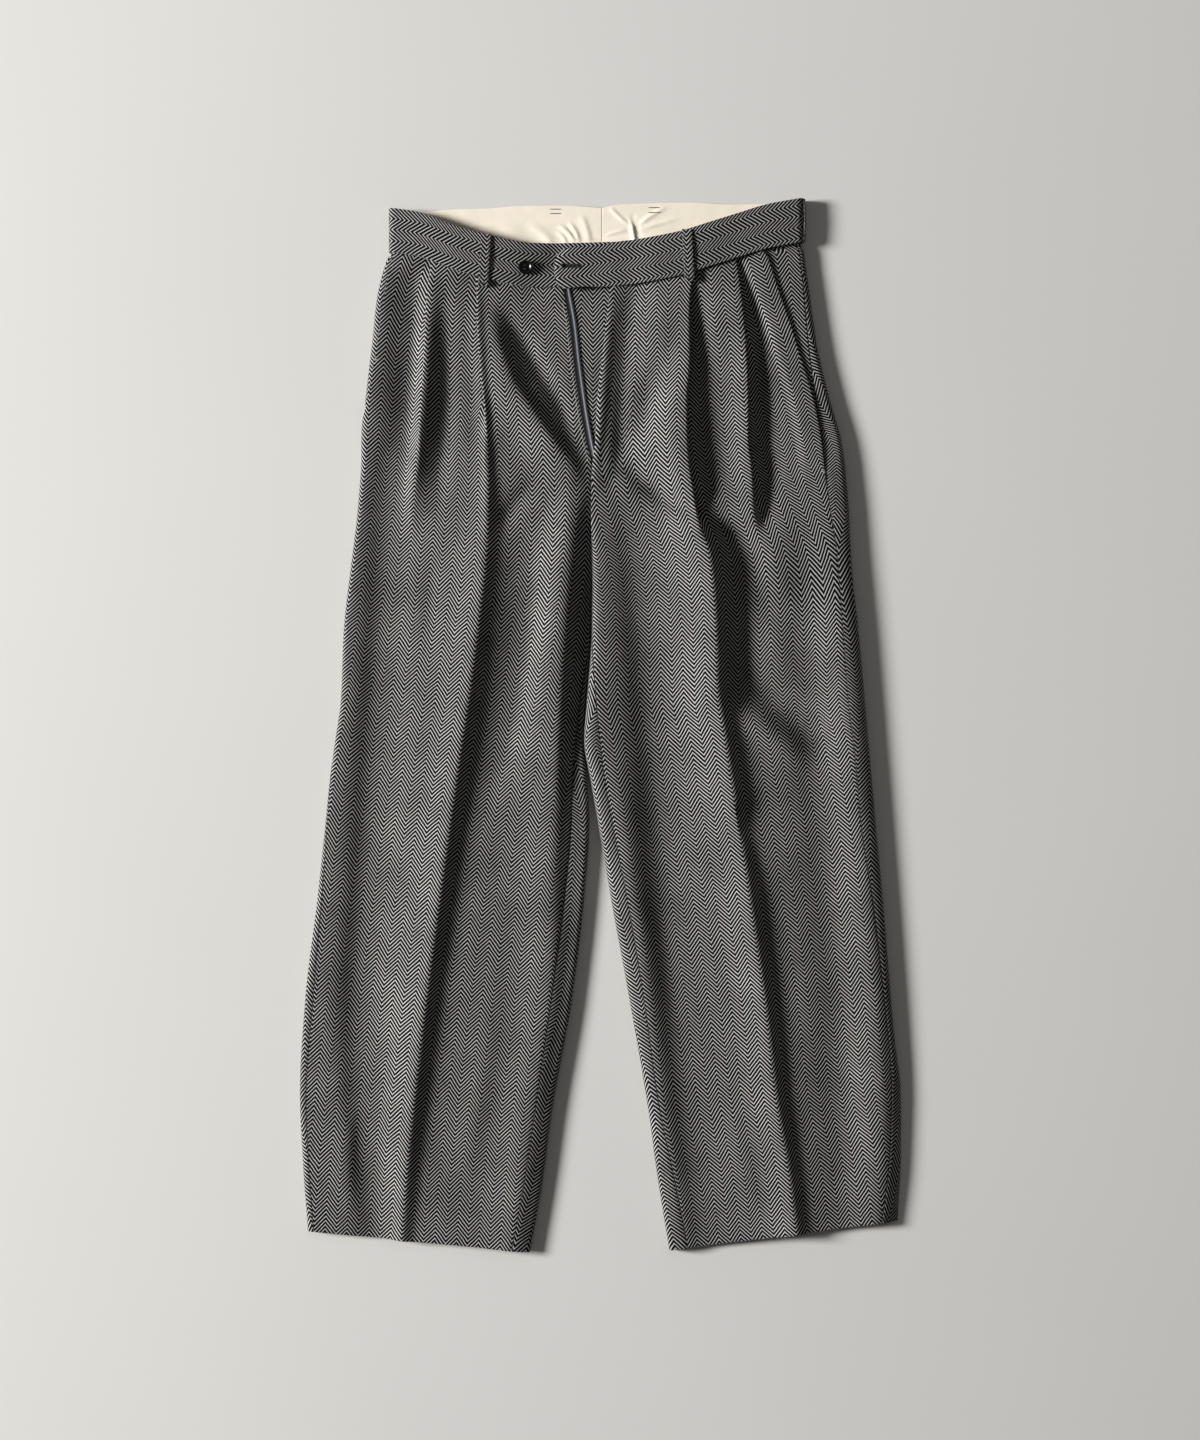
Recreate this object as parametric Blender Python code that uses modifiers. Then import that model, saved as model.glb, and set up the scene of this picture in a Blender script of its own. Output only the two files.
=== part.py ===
"""Pleated dress trousers, laid flat with the front up, the waist undone and the fly open.

+X points across the trousers to the wearer's left, +Y from the hems to the waist, +Z up. Tables
are in millimetres: "out" is measured outward from the middle of the trousers, "down" from the
side corner of the waistband towards the hems. A row of a panel is a nominal "down" that follows
the waist seam at the top and the hem at the bottom.
"""

import math

import bpy
import bmesh
import numpy as np

MM = 0.001
MERGE = 0.00001
NAME = "dress_trousers"

# Cloth, and how near pieces come to each other
WALL = 1.0
BAND_WALL = 2.2
SEAM = 0.3
GAP = 0.4
FLOOR = WALL / 2

# Landmarks down the trousers
WAIST = 60.0
FADE_END = 240.0
FLY_FOOT = 265.0
CLIMB_FROM = 275.0
CROTCH = 360.0
HEM_FADE = 700.0
HEM = 1040.0

# Each row is a section across one half. "outer" is the outer fold, "mouth" and "seam" how far
# inside it the front and the back end (negative: past the fold, on the underside), "pleat" and
# "crease" the two fold lines, "centre" the front's inner edge, and "inner" the inner fold, or the
# centre back seam above the crotch.
PLAN_COLUMNS = ("down", "outer", "mouth", "seam", "pleat", "crease", "centre", "inner")
PLAN = {
    "right": (
        (60, 203.5, 3.5, -18, 160, 115, 29, -10),
        (100, 215, 7, -15, 165, 114.5, 22.5, -10),
        (150, 221, 5, -9, 167, 112, 18, -8),
        (205, 227.8, 2.2, -1.8, 170.6, 107.8, 11.8, -5.9),
        (222, 229.5, 0.3, 0.3, 172.5, 107, 9.2, -5.5),
        (247, 231, -1.4, -1.4, 174.6, 105.2, 4.6, -4.7),
        (265, 231.5, -2.4, -2.4, 176, 104.5, 0.4, -4),
        (285, 233, -3.4, -3.4, 178, 104.3, 1.2, -2.8),
        (310, 235, -4.5, -4.5, 180, 104.5, 1.3, -1.5),
        (360, 241, -4.5, -4.5, 184, 107, 0.5, 0.5),
        (430, 249, -3.5, -3.5, 189, 115, 2.2, 1.2),
        (500, 252, -2, -2, 193, 124, 12, 6.2),
        (540, 257.5, -1, -1, 199, 130.5, 17, 8.6),
        (580, 263, 1, 1, 204, 136, 20, 4.8),
        (620, 267, 2, 2, 208, 142, 21, 2.5),
        (700, 275.5, 4.5, 4.5, 218, 153, 28, 8),
        (800, 287.5, 8, 8, 230, 166.5, 41.5, 20.5),
        (900, 293, 6.5, 6.5, 238, 178.5, 57, 39.5),
        (970, 290, 6, 6, 239, 186, 68, 49.5),
        (1040, 285, 6, 6, 238, 191.5, 81, 62),
    ),
    "left": (
        (60, 211, 37, 3.6, 144, 100, 18, 10.3),
        (100, 217, 30.5, 5, 149.5, 97.5, 14, 10.3),
        (150, 225, 20.5, 8, 154, 98, 9.3, 8.3),
        (200, 238, 16.5, 14, 156, 95, 5, 6.3),
        (240, 250, 20, 19.5, 156, 95.5, 3.3, 5.3),
        (265, 253.5, 20.7, 20.7, 159, 97, 0.3, 4.3),
        (285, 255.3, 19.8, 19.8, 161.2, 100.5, -0.8, 3.2),
        (310, 257.5, 18.5, 18.5, 164, 105, -1, 1.8),
        (360, 260, 14, 14, 172, 118, -0.1, -0.1),
        (430, 267, 15.5, 15.5, 180, 124, 0.4, -0.6),
        (500, 273.5, 17, 17, 190, 126, 4.5, -5.2),
        (540, 277, 15.5, 15.5, 197, 133, 8.5, -8),
        (580, 280.5, 15, 15, 203, 139, 13.5, -1.5),
        (620, 284, 15, 15, 209, 146, 20.5, 5.5),
        (700, 291.5, 10.5, 10.5, 219, 158, 36, 19),
        (800, 299.5, 7, 7, 231, 172.5, 53, 38),
        (900, 306, 5.5, 5.5, 241, 184, 68, 56),
        (970, 304, 5.5, 5.5, 245, 196, 83, 66),
        (1040, 296, 5.5, 5.5, 246, 205, 96.5, 77.5),
    ),
}

# How far the cloth of the underside comes out past the outer fold at the hem
PEEK_COLUMNS = ("down", "peek")
PEEK = {
    "right": ((60, 0), (1040, 0)),
    "left": ((60, 0), (840, 0), (900, 5.5), (970, 8.5), (1040, 14)),
}

# Height of the top cloth at the inner fold, halfway to the crease, at the crease, halfway to the
# side and at the outer fold, and how far the pressed crease stands above that.
HEIGHT_COLUMNS = ("down", "edge_in", "mid_in", "top", "mid_out", "edge_out", "ridge")
HEIGHTS = {
    "right": (
        (60, 12.0, 12.0, 13.8, 12.4, 10.5, 0.0),
        (150, 12.0, 12.5, 14.4, 12.8, 11.0, 0.0),
        (200, 11.8, 12.6, 14.0, 12.6, 11.0, 0.8),
        (265, 11.5, 12.2, 13.2, 12.2, 10.6, 2.4),
        (360, 11.0, 12.0, 12.4, 11.6, 10.2, 3.4),
        (500, 10.0, 11.4, 11.8, 11.0, 10.0, 3.6),
        (620, 9.6, 11.0, 11.6, 10.8, 9.8, 3.6),
        (800, 9.2, 10.6, 11.2, 10.4, 9.4, 3.4),
        (1040, 8.6, 9.4, 10.0, 9.4, 8.8, 2.8),
    ),
    "left": (
        (60, 14.6, 14.6, 14.8, 12.6, 10.5, 0.0),
        (150, 15.0, 15.2, 15.6, 13.2, 11.4, 0.0),
        (200, 14.8, 15.0, 15.4, 13.2, 11.6, 0.3),
        (265, 14.0, 14.6, 15.0, 13.2, 12.0, 1.4),
        (360, 14.0, 13.8, 14.0, 13.0, 12.0, 3.6),
        (500, 17.0, 13.8, 13.0, 12.2, 11.6, 3.8),
        (540, 18.0, 14.0, 13.0, 12.2, 11.4, 3.8),
        (620, 16.5, 13.6, 12.6, 11.8, 11.0, 3.8),
        (800, 12.5, 12.0, 11.8, 11.0, 10.2, 3.4),
        (1040, 9.4, 9.8, 10.0, 9.6, 9.0, 2.8),
    ),
}
RIDGE_WIDTH = 16.0
RIDGE_ROUND = 2.0
BASE_FADE = 20.0

# Reverse pleats: each is a Z of three layers whose fold faces the side. "depth" is the cloth taken
# in at the waist, "band" and "full" the fold's radius under the waistband and where it is fullest,
# and "opens" and "flat" the rows where the Z begins to open and has gone.
PLEAT_COLUMNS = ("line", "depth", "band", "full", "opens", "flat")
PLEATS = {
    "right": (
        ("crease", 20, 0.85, 1.0, 175, 255),
        ("pleat", 16, 0.85, 1.0, 190, 275),
    ),
    "left": (
        ("crease", 22, 0.85, 2.2, 285, 355),
        ("pleat", 16, 0.85, 1.6, 265, 340),
    ),
}
PLEAT_LEAST = 3.0
LEAST_TURN = 0.003
PLEAT_CLEAR = 3.0
PLEAT_SWELL = 60.0
RAMP_IN = 30.0
RAMP_OUT = 25.0

# Largest soft folds of the fronts, as a ridge (or a trough, below zero) along a straight line
FOLD_COLUMNS = ("down_a", "out_a", "down_b", "out_b", "width", "height")
FOLDS = {
    "right": (
        (285, 22, 590, 66, 11, 2.2),
        (330, 9, 520, 15, 8, -2.0),
    ),
    "left": (
        (190, 82, 262, 48, 9, 1.4),
        (320, 196, 395, 184, 20, 1.6),
        (470, 140, 552, 255, 17, -1.8),
    ),
}

# The back and the outer fold tuck inside the waistband over these lengths below its seam
TUCK_IN = 3.3
TUCK_SIDE = 8.0
TUCK_BACK = 28.0

# The front lifts off the pocket facing along the mouth, and comes down below the facing's end
MOUTH_LIFT = {"right": 1.7, "left": 2.6}
LIFT_FADE = 60.0
MOUTH_REACH = {"right": 42.0, "left": 28.0}
MOUTH_RAMP = {"right": 20.0, "left": 10.0}
MOUTH_LEAST = 3.0
FACING_END = {"right": 205.0, "left": 242.0}
FACING_UNDER = 20.0
FACING_STRIPS = 8

# Waistband: its height, its side fold, and its top edge as down for each out
BAND_HEIGHT = 44.0
BAND_BACK = 2.7
BAND_RISE = 2.3
BAND_FOLD = {"right": 203.5, "left": 212.0}
TOP_EDGE_COLUMNS = ("out", "down")
TOP_EDGE = {
    "right": ((-41, 41.5), (16, 43), (59, 43.5), (74, 42), (106, 35), (135, 27), (158, 18), (177, 12),
              (203, 8)),
    "left": ((-39, 51), (-23, 49), (8, 46), (30, 42), (40, 41), (85, 33), (118, 23), (146, 14), (175, 5),
             (212, -2)),
}
BACK_TOP_EDGE = {
    "right": ((-10, 6.5), (30, 4), (74, 4.5), (105, 7), (140, 8), (177, 11), (203, 8)),
    "left": ((10, 6.5), (28, 3), (100, 1), (138, 3), (176, 2), (212, -2)),
}
UNDERLAP_END = -40.0
UNDERLAP_DROP = 1.2
TAB_END = -38.0
TAB_HEIGHT = 40.0
TAB_TAPER = (-10.0, 40.0)
TAB_ROUND = 12.0
TAB_NIP = 0.3
TAB_STEPS = (0.0, 1.5, 4.0, 8.0, 12.0)
BAND_STRIPS = {"front": 21, "fold": 8, "back": 8}
BACK_CENTRE = 10.0

# The waistband lies higher over the pleats, and its right end lies lower, under the other half
BAND_OVER_PLEATS = (-65.0, 30.0)
UNDERLAP_RAMP = (4.0, 22.0)

# Drop of the hem against its row at the inner and the outer fold: out, down
HEM_SLANT = {"right": ((62, 13), (285, -8)), "left": ((79, 11), (297, -17))}

# Lining of the back of the waistband: it ends short of the side folds and steps over the back's
# tucked edge
LINING_OUT = {"right": 186.0, "left": 194.0}
LINING_DROP = 1.6
LINING_STEP = 30.0
LINING_RAMP = 6.0
LINING_LENGTH = 56.0
LINING_STRIPS = 9

# Belt loops
LOOP_WIDTH = 10.0
LOOP_WALL = 1.3
LOOP_LENGTH = 52.0
LOOP_BULGE = 0.9
LOOP_INSET = 0.8
LOOP_LEAN = 3.0
LOOP_SHARES = (0.0, 0.12, 0.3, 0.5, 0.7, 0.84, 0.93, 1.0)
LOOP_SEWN = 0.84
FRONT_LOOPS = {"right": 107.0, "left": 96.0}
BACK_LOOPS = {"right": 37.0, "left": 63.0}
SIDE_LOOP_UNDER = 178.0

# Fly: the shield's two edges, and the zip tapes under the edges of the fronts
SHIELD_COLUMNS = ("down", "right_edge", "left_edge")
SHIELD = ((84, 30, -34), (100, 32, -33), (150, 30, -31), (200, 26, -27), (240, 20, -22), (268, 12, -15),
          (288, 8, -10))
SHIELD_Z = 9.0
SHIELD_STRIPS = 4
TAPE_WIDTH = 14.0
TAPE_SHOWN = {"right": 7.0, "left": -1.5}
TAPE_Z = {"right": 10.3, "left": 12.0}
TAPE_TOP = {"right": 84.0, "left": 96.0}
TAPE_FOOT = 258.0
TAPE_ROWS = 8
SLIDER = (6.0, 9.0, 2.2)
SLIDER_OUT = 10.5
SLIDER_Z = 10.9
SLIDER_EDGE = 0.5

# Waist button, four holes
BUTTON_OUT = 66.5
BUTTON_DOWN = 68.5
BUTTON_RADIUS = 7.0
BUTTON_THICK = 3.0
BUTTON_RIM = 1.3
BUTTON_DISH = 0.9
BUTTON_HOLE = 0.9
BUTTON_HOLE_OFF = 1.7
BUTTON_FOOT = 1.0
BUTTON_SIDES = 28

# Buttonhole in the tab: a round eye at the end and a slit
EYE_OUT = -27.5
EYE_DOWN = 67.0
EYE_RADIUS = 1.7
SLIT_LENGTH = 17.0
SLIT_WIDTH = 1.0
CUT_SIDES = {"button_hole": 8, "eye": 12}

# The middle of the laid trousers, which the origin stands under: x, and down
MIDDLE = (8.94, 525.6)

# Rows of the panels, and how many strips each stretch of a section has
ROWS = (54, 60, 67, 80, 100, 125, 150, 175, 190, 205, 222, 242, 262, 285, 305, 325, 345, 365, 400, 440,
        480, 520, 555, 590, 640, 700, 770, 840, 910, 975, 1040)
FRONT_STRIPS = {"inside": 6, "arc": 4, "between": 4, "side": 9}
BACK_STRIPS = {"side": 8, "floor": 2, "inside": 8}
FLOOR_MARGIN = 30.0

# Colours, linear
CLOTH = (0.075, 0.073, 0.071, 1)
CREAM = (0.75, 0.71, 0.6, 1)
TAPE = (0.13, 0.14, 0.15, 1)
BLACK = (0.008, 0.008, 0.009, 1)
STEEL = (0.35, 0.35, 0.36, 1)

SIGN = {"right": -1, "left": 1}


def smooth(t):
    """0 below 0, 1 above 1 and an S between."""
    t = np.clip(t, 0.0, 1.0)
    return t * t * (3 - 2 * t)


def curve(x, xs, ys):
    """A smooth curve through the points (xs, ys), level past its ends."""
    xs, ys = np.asarray(xs, float), np.asarray(ys, float)
    x = np.clip(x, xs[0], xs[-1])
    slopes = np.diff(ys) / np.diff(xs)
    before, after = np.r_[slopes[:1], slopes], np.r_[slopes, slopes[-1:]]
    tangents = np.where(before * after > 0, 2 * before * after / (before + after + 1e-12), 0.0)
    i = np.clip(np.searchsorted(xs, x, side="right") - 1, 0, len(xs) - 2)
    span = xs[i + 1] - xs[i]
    t = (x - xs[i]) / span
    a, b = (1 + 2 * t) * (1 - t) ** 2, t * t * (3 - 2 * t)
    c, d = t * (1 - t) ** 2, t * t * (t - 1)
    return a * ys[i] + b * ys[i + 1] + span * (c * tangents[i] + d * tangents[i + 1])


def column(table, names, name, x):
    """One named column of a table, read at x in its first column."""
    values = np.array(table, float)
    return curve(x, values[:, 0], values[:, names.index(name)])


def plan(half, name, row):
    return float(column(PLAN[half], PLAN_COLUMNS, name, row))


def height(half, name, row):
    return float(column(HEIGHTS[half], HEIGHT_COLUMNS, name, row))


def top_edge(half, out):
    """Down of the waistband's top edge on the front."""
    return column(TOP_EDGE[half], TOP_EDGE_COLUMNS, "down", out)


def back_edge(half, out):
    """Down of the waistband's top edge on the back."""
    return column(BACK_TOP_EDGE[half], TOP_EDGE_COLUMNS, "down", out)


def down_at(half, out, row, edge=top_edge):
    """Real down of a row at each out: it follows the waist seam above and the hem below."""
    waist = (edge(half, out) + BAND_HEIGHT - WAIST) * (1 - smooth((row - WAIST) / (FADE_END - WAIST)))
    (out_a, drop_a), (out_b, drop_b) = HEM_SLANT[half]
    hem = drop_a + (drop_b - drop_a) * (out - out_a) / (out_b - out_a)
    return row + waist + hem * smooth((row - HEM_FADE) / (HEM - HEM_FADE))


def floor_at(row):
    """Height of the cloth on the underside: it rises to tuck inside the waistband."""
    lift = BAND_BACK + BAND_WALL / 2 + SEAM
    return FLOOR + lift * (1 - smooth((row - WAIST) / TUCK_BACK))


def outer_at(half, row):
    """Outer fold of the cloth, narrower where it tucks inside the waistband's side fold."""
    return plan(half, "outer", row) - TUCK_IN * (1 - smooth((row - WAIST) / TUCK_SIDE))


class Section:
    """The section of one half at one row: its folds, heights and pleats."""

    def __init__(self, half, row):
        self.half, self.row = half, row
        self.floor = floor_at(row)
        self.outer = outer_at(half, row) - WALL / 2
        self.inner = plan(half, "inner", row) + WALL / 2
        self.centre = plan(half, "centre", row)
        self.edge_in, self.edge_out = height(half, "edge_in", row), height(half, "edge_out", row)
        self.inner_radius = (self.edge_in - self.floor) / 2
        self.outer_radius = (self.edge_out - self.floor) / 2
        self.crease = plan(half, "crease", row)
        self.peek = float(column(PEEK[half], PEEK_COLUMNS, "peek", row))
        self.pleats = [self.pleat(**dict(zip(PLEAT_COLUMNS, values))) for values in PLEATS[half]]

    def pleat(self, line, depth, band, full, opens, flat):
        """The Z of one pleat: its turn, arc and mid layer, how far it is pressed down while it
        opens, its step in height, and where it starts and ends."""
        row = self.row
        radius = band + (full - band) * smooth((row - WAIST) / PLEAT_SWELL)
        turn = math.pi * (1 - float(smooth((row - opens) / (flat - opens))))
        layer = PLEAT_LEAST + depth * (1 - float(smooth((row - WAIST) / (opens - WAIST))))
        turn = max(turn, LEAST_TURN)
        shut = turn / math.pi
        bend = radius / shut
        rise = 2 * bend * (1 - math.cos(turn)) + layer * math.sin(turn)
        press = 4 * radius / max(rise, 4 * radius)
        start = plan(self.half, line, row) - radius * shut - (math.pi * radius + layer / 2) * (1 - shut)
        across = 2 * bend * math.sin(turn) + layer * math.cos(turn)
        return {"turn": turn, "bend": bend, "layer": layer, "press": press, "step": rise * press,
                "start": start, "end": start + across, "edge": start + radius}

    def base(self, out):
        """Height of the top cloth before its pleats."""
        inside, outside = self.inner + self.inner_radius, self.outer - self.outer_radius
        places = (inside, (inside + self.crease) / 2, self.crease, (self.crease + outside) / 2, outside)
        heights = [height(self.half, name, self.row) for name in HEIGHT_COLUMNS[1:6]]
        ridge = height(self.half, "ridge", self.row)
        away = np.sqrt((out - self.crease) ** 2 + RIDGE_ROUND ** 2) - RIDGE_ROUND
        fade = smooth((out - inside) / BASE_FADE) * smooth((outside - out) / BASE_FADE)
        z = curve(out, places, heights) + ridge * np.exp(-away / RIDGE_WIDTH)
        return z + fade * self.folds(out)

    def folds(self, out):
        """The soft folds that cross this row."""
        total = 0.0
        for values in FOLDS[self.half]:
            fold = dict(zip(FOLD_COLUMNS, values))
            slope = (fold["out_b"] - fold["out_a"]) / (fold["down_b"] - fold["down_a"])
            line = fold["out_a"] + slope * (self.row - fold["down_a"])
            away = (out - line) / math.hypot(1, slope) / fold["width"]
            t = (self.row - fold["down_a"]) / (fold["down_b"] - fold["down_a"])
            ends = smooth(4 * t + 0.5) * smooth(4 * (1 - t) + 0.5)
            total = total + fold["height"] * np.exp(-away ** 2) * ends
        return total

    def swell(self, out, passed=None, besides=None):
        """The top cloth lies half a step up before each pleat and half a step down after it.
        "passed" is how many pleats the cloth has been through; without it, the place tells."""
        total = 0.0
        for i, pleat in enumerate(self.pleats):
            if pleat is besides:
                continue
            before = smooth(1 - (pleat["start"] - pleat["layer"] - PLEAT_CLEAR - out) / RAMP_IN)
            after = smooth(1 - (out - pleat["edge"] - PLEAT_CLEAR) / RAMP_OUT)
            ahead = out < pleat["start"] if passed is None else i >= passed
            total = total + np.where(ahead, before, -after) * pleat["step"] / 2
        return total

    def ring(self, steps=16):
        """Loop of this half from its crease outward, round the outer fold, along the floor and
        round the inner fold to the crease again: its points, the distance of each along it, and
        the distances at which it is outermost and innermost."""
        top_out = np.linspace(self.crease, self.outer - self.outer_radius, 40)
        angles = np.linspace(0, math.pi, steps)[1:]
        lean = self.peek * (1 - np.cos(angles)) / 2
        arc_out = np.stack([self.outer - self.outer_radius * (1 - np.sin(angles)) + lean,
                            self.floor + self.outer_radius * (1 + np.cos(angles))], axis=1)
        floor_out = np.linspace(arc_out[-1, 0], self.inner + self.inner_radius, 60)[1:]
        arc_in = np.stack([self.inner + self.inner_radius * (1 - np.sin(angles)),
                           self.floor + self.inner_radius * (1 - np.cos(angles))], axis=1)
        top_in = np.linspace(self.inner + self.inner_radius, self.crease, 40)[1:]
        points = np.concatenate([
            np.stack([top_out, self.base(top_out) + self.swell(top_out)], axis=1), arc_out,
            np.stack([floor_out, np.full(len(floor_out), self.floor)], axis=1), arc_in,
            np.stack([top_in, self.base(top_in)], axis=1)])
        length = np.r_[0, np.cumsum(np.hypot(*np.diff(points, axis=0).T))]
        widest = length[39] + self.outer_radius * math.pi / 2
        start = 40 + len(angles) + len(floor_out)
        nearest = np.interp(math.pi / 2, angles, length[start:start + len(angles)])
        return points, length, widest, nearest


def along_fold(inset, radius):
    """Distance round a fold from its outermost point to the place that lies inset from it."""
    size = abs(inset)
    if size >= radius:
        travel = radius * math.pi / 2 + size - radius
    else:
        travel = radius * math.acos(1 - size / radius)
    return math.copysign(travel, inset)


def spread(points, length, start, end, strips, even=12.0, turn=30.0):
    """Points between two distances along a path, closer together where it bends."""
    places = np.linspace(start, end, 240)
    path = np.stack([np.interp(places, length, points[:, i]) for i in (0, 1)], axis=1)
    steps = np.diff(path, axis=0)
    heading = np.unwrap(np.arctan2(steps[:, 1], steps[:, 0]))
    bends = np.abs(np.r_[0, np.diff(heading)]) / math.radians(turn)
    weight = np.r_[0, np.cumsum(np.hypot(*steps.T) / even + bends)]
    picks = np.interp(np.linspace(0, weight[-1], strips + 1), weight, places)
    return np.stack([np.interp(picks, length, points[:, i]) for i in (0, 1)], axis=1)


def front_roll(section):
    """How far the front's inner edge rolls down, in radians."""
    if section.row < CROTCH:
        return math.pi / 2 * float(smooth((section.row - FLY_FOOT) / (CROTCH - FLY_FOOT))) ** 2
    inset = max(section.centre - section.inner, 0.0)
    if inset >= section.inner_radius:
        return 0.0
    return math.pi / 2 - math.acos(1 - inset / section.inner_radius)


def outer_lift(section, path, length, widest):
    """Moves the path of the front out, off the pocket facing, towards its outer edge."""
    fade = float(smooth((section.row - FACING_END[section.half]) / LIFT_FADE))
    lift = MOUTH_LIFT[section.half] * (1 - fade)
    mouth = plan(section.half, "mouth", section.row)
    edge = widest - along_fold(mouth, section.outer_radius)
    reach = MOUTH_REACH[section.half] + along_fold(max(mouth, MOUTH_LEAST), section.outer_radius)
    steps = np.gradient(path, axis=0)
    normals = np.stack([-steps[:, 1], steps[:, 0]], axis=1) / np.hypot(*steps.T)[:, None]
    share = smooth((length - widest + reach) / MOUTH_RAMP[section.half])
    return path + normals * (lift * share)[:, None], edge - GAP


def front_section(half, row):
    """Points across the front at one row, from its inner edge to its outer edge."""
    section = Section(half, row)
    first, second = section.pleats
    roll = front_roll(section)
    radius = section.inner_radius
    flat_start = section.centre + radius * math.sin(roll)
    outs = np.linspace(flat_start, first["start"], 80)
    inside = np.stack([outs, section.base(outs) + section.swell(outs, 0)], axis=1)
    if roll > 1e-3:
        angles = np.linspace(roll, 0, 14)[:-1]
        rolled = np.stack([flat_start - radius * np.sin(angles),
                           inside[0, 1] - radius * (1 - np.cos(angles))], axis=1)
        inside = np.concatenate([rolled, inside])
    length = np.r_[0, np.cumsum(np.hypot(*np.diff(inside, axis=0).T))]
    points = [spread(inside, length, 0, length[-1], FRONT_STRIPS["inside"])]
    points.append(fold_points(section, first))
    outs = np.linspace(first["end"], second["start"], FRONT_STRIPS["between"] + 1)
    points.append(np.stack([outs, section.base(outs) + section.swell(outs, 1)], axis=1)[1:])
    points.append(fold_points(section, second))
    points.append(side_points(section, second)[1:])
    return np.concatenate(points)


def fold_points(section, pleat):
    """Points of one pleat's Z after its start: arc, mid layer, arc."""
    turn, bend = pleat["turn"], pleat["bend"]
    angles = np.linspace(0, turn, FRONT_STRIPS["arc"] + 1)[1:]
    arc = np.stack([bend * np.sin(angles), -bend * (1 - np.cos(angles))], axis=1)
    run = arc[-1] + pleat["layer"] * np.array([math.cos(turn), -math.sin(turn)])
    back = run + np.stack([bend * (math.sin(turn) - np.sin(turn - angles)),
                           bend * (math.cos(turn) - np.cos(turn - angles))], axis=1)
    path = np.concatenate([arc, [run], back])
    outs = pleat["start"] + path[:, 0]
    passed = section.pleats.index(pleat)
    level = section.base(outs) + section.swell(outs, passed, besides=pleat) + pleat["step"] / 2
    return np.stack([outs, level + pleat["press"] * path[:, 1]], axis=1)


def side_points(section, pleat):
    """Points of the front from its second pleat to its outer edge."""
    ring, length, widest, _ = section.ring()
    outs = np.linspace(pleat["end"], section.outer - section.outer_radius, 60)
    top = np.stack([outs, section.base(outs) + section.swell(outs, 2)], axis=1)
    fold = ring[(length > length[39]) & (length < widest + 40)]
    path = np.concatenate([top, fold])
    measure = np.r_[0, np.cumsum(np.hypot(*np.diff(path, axis=0).T))]
    middle = measure[59] + section.outer_radius * math.pi / 2
    path, edge = outer_lift(section, path, measure, middle)
    return spread(path, measure, 0, edge, FRONT_STRIPS["side"])


def back_section(half, row):
    """Points across the back at one row, from the side seam round to the inseam or the centre."""
    section = Section(half, row)
    ring, length, widest, nearest = section.ring()
    seam = widest - along_fold(plan(half, "seam", row), section.outer_radius)
    span = section.outer_radius * (math.pi / 2 - 1)
    floor_a = widest + span + FLOOR_MARGIN
    floor_b = nearest - section.inner_radius * (math.pi / 2 - 1) - FLOOR_MARGIN
    if row < CROTCH:
        share = float(smooth((row - CLIMB_FROM) / (CROTCH - CLIMB_FROM)))
        climb = math.pi / 2 * share
        angles = np.linspace(0, climb, 14)
        start = section.inner - WALL / 2 * (1 - share) + section.inner_radius * math.sin(climb)
        tail = np.stack([start - section.inner_radius * np.sin(angles),
                         section.floor + section.inner_radius * (1 - np.cos(angles))], axis=1)
        flat = ring[(length < floor_b) & (ring[:, 0] > start + 1)]
        ring = np.concatenate([flat, tail])
        length = np.r_[0, np.cumsum(np.hypot(*np.diff(ring, axis=0).T))]
        end = length[-1]
    else:
        inset = max(section.centre - section.inner, 0.0)
        end = nearest + along_fold(inset, section.inner_radius) - 2 * GAP
    points = [spread(ring, length, seam + GAP / 2, floor_a, BACK_STRIPS["side"])]
    points.append(spread(ring, length, floor_a, floor_b, BACK_STRIPS["floor"])[1:])
    points.append(spread(ring, length, floor_b, end, BACK_STRIPS["inside"])[1:])
    return np.concatenate(points)


def band_height(half, out):
    """Height of the waistband's middle on the front: over the pleats, and at the fly over the
    other half."""
    section = Section(half, WAIST)
    start, ramp = BAND_OVER_PLEATS
    rise = BAND_RISE * smooth((out - section.crease - start) / ramp)
    z = curve(out, (section.centre, section.crease * 0.55, section.crease,
                    (section.crease + section.outer) / 2, section.outer - section.outer_radius),
              [height(half, name, WAIST) for name in HEIGHT_COLUMNS[1:6]])
    z = z + WALL / 2 + SEAM + BAND_WALL / 2 + rise
    if half == "right":
        start, ramp = UNDERLAP_RAMP
        z = z - UNDERLAP_DROP * (1 - smooth((out - start) / ramp))
    return z


def material(name, colour, roughness, metallic=0.0):
    made = bpy.data.materials.new(name)
    made.use_nodes = True
    shader = made.node_tree.nodes["Principled BSDF"]
    shader.inputs["Base Color"].default_value = colour
    shader.inputs["Roughness"].default_value = roughness
    shader.inputs["Metallic"].default_value = metallic
    return made


def to_space(half, outs, downs, heights):
    """Points in metres from out, down and height in millimetres."""
    return np.stack([(SIGN[half] * outs - MIDDLE[0]) * MM, (MIDDLE[1] - downs) * MM, heights * MM], axis=-1)


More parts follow.
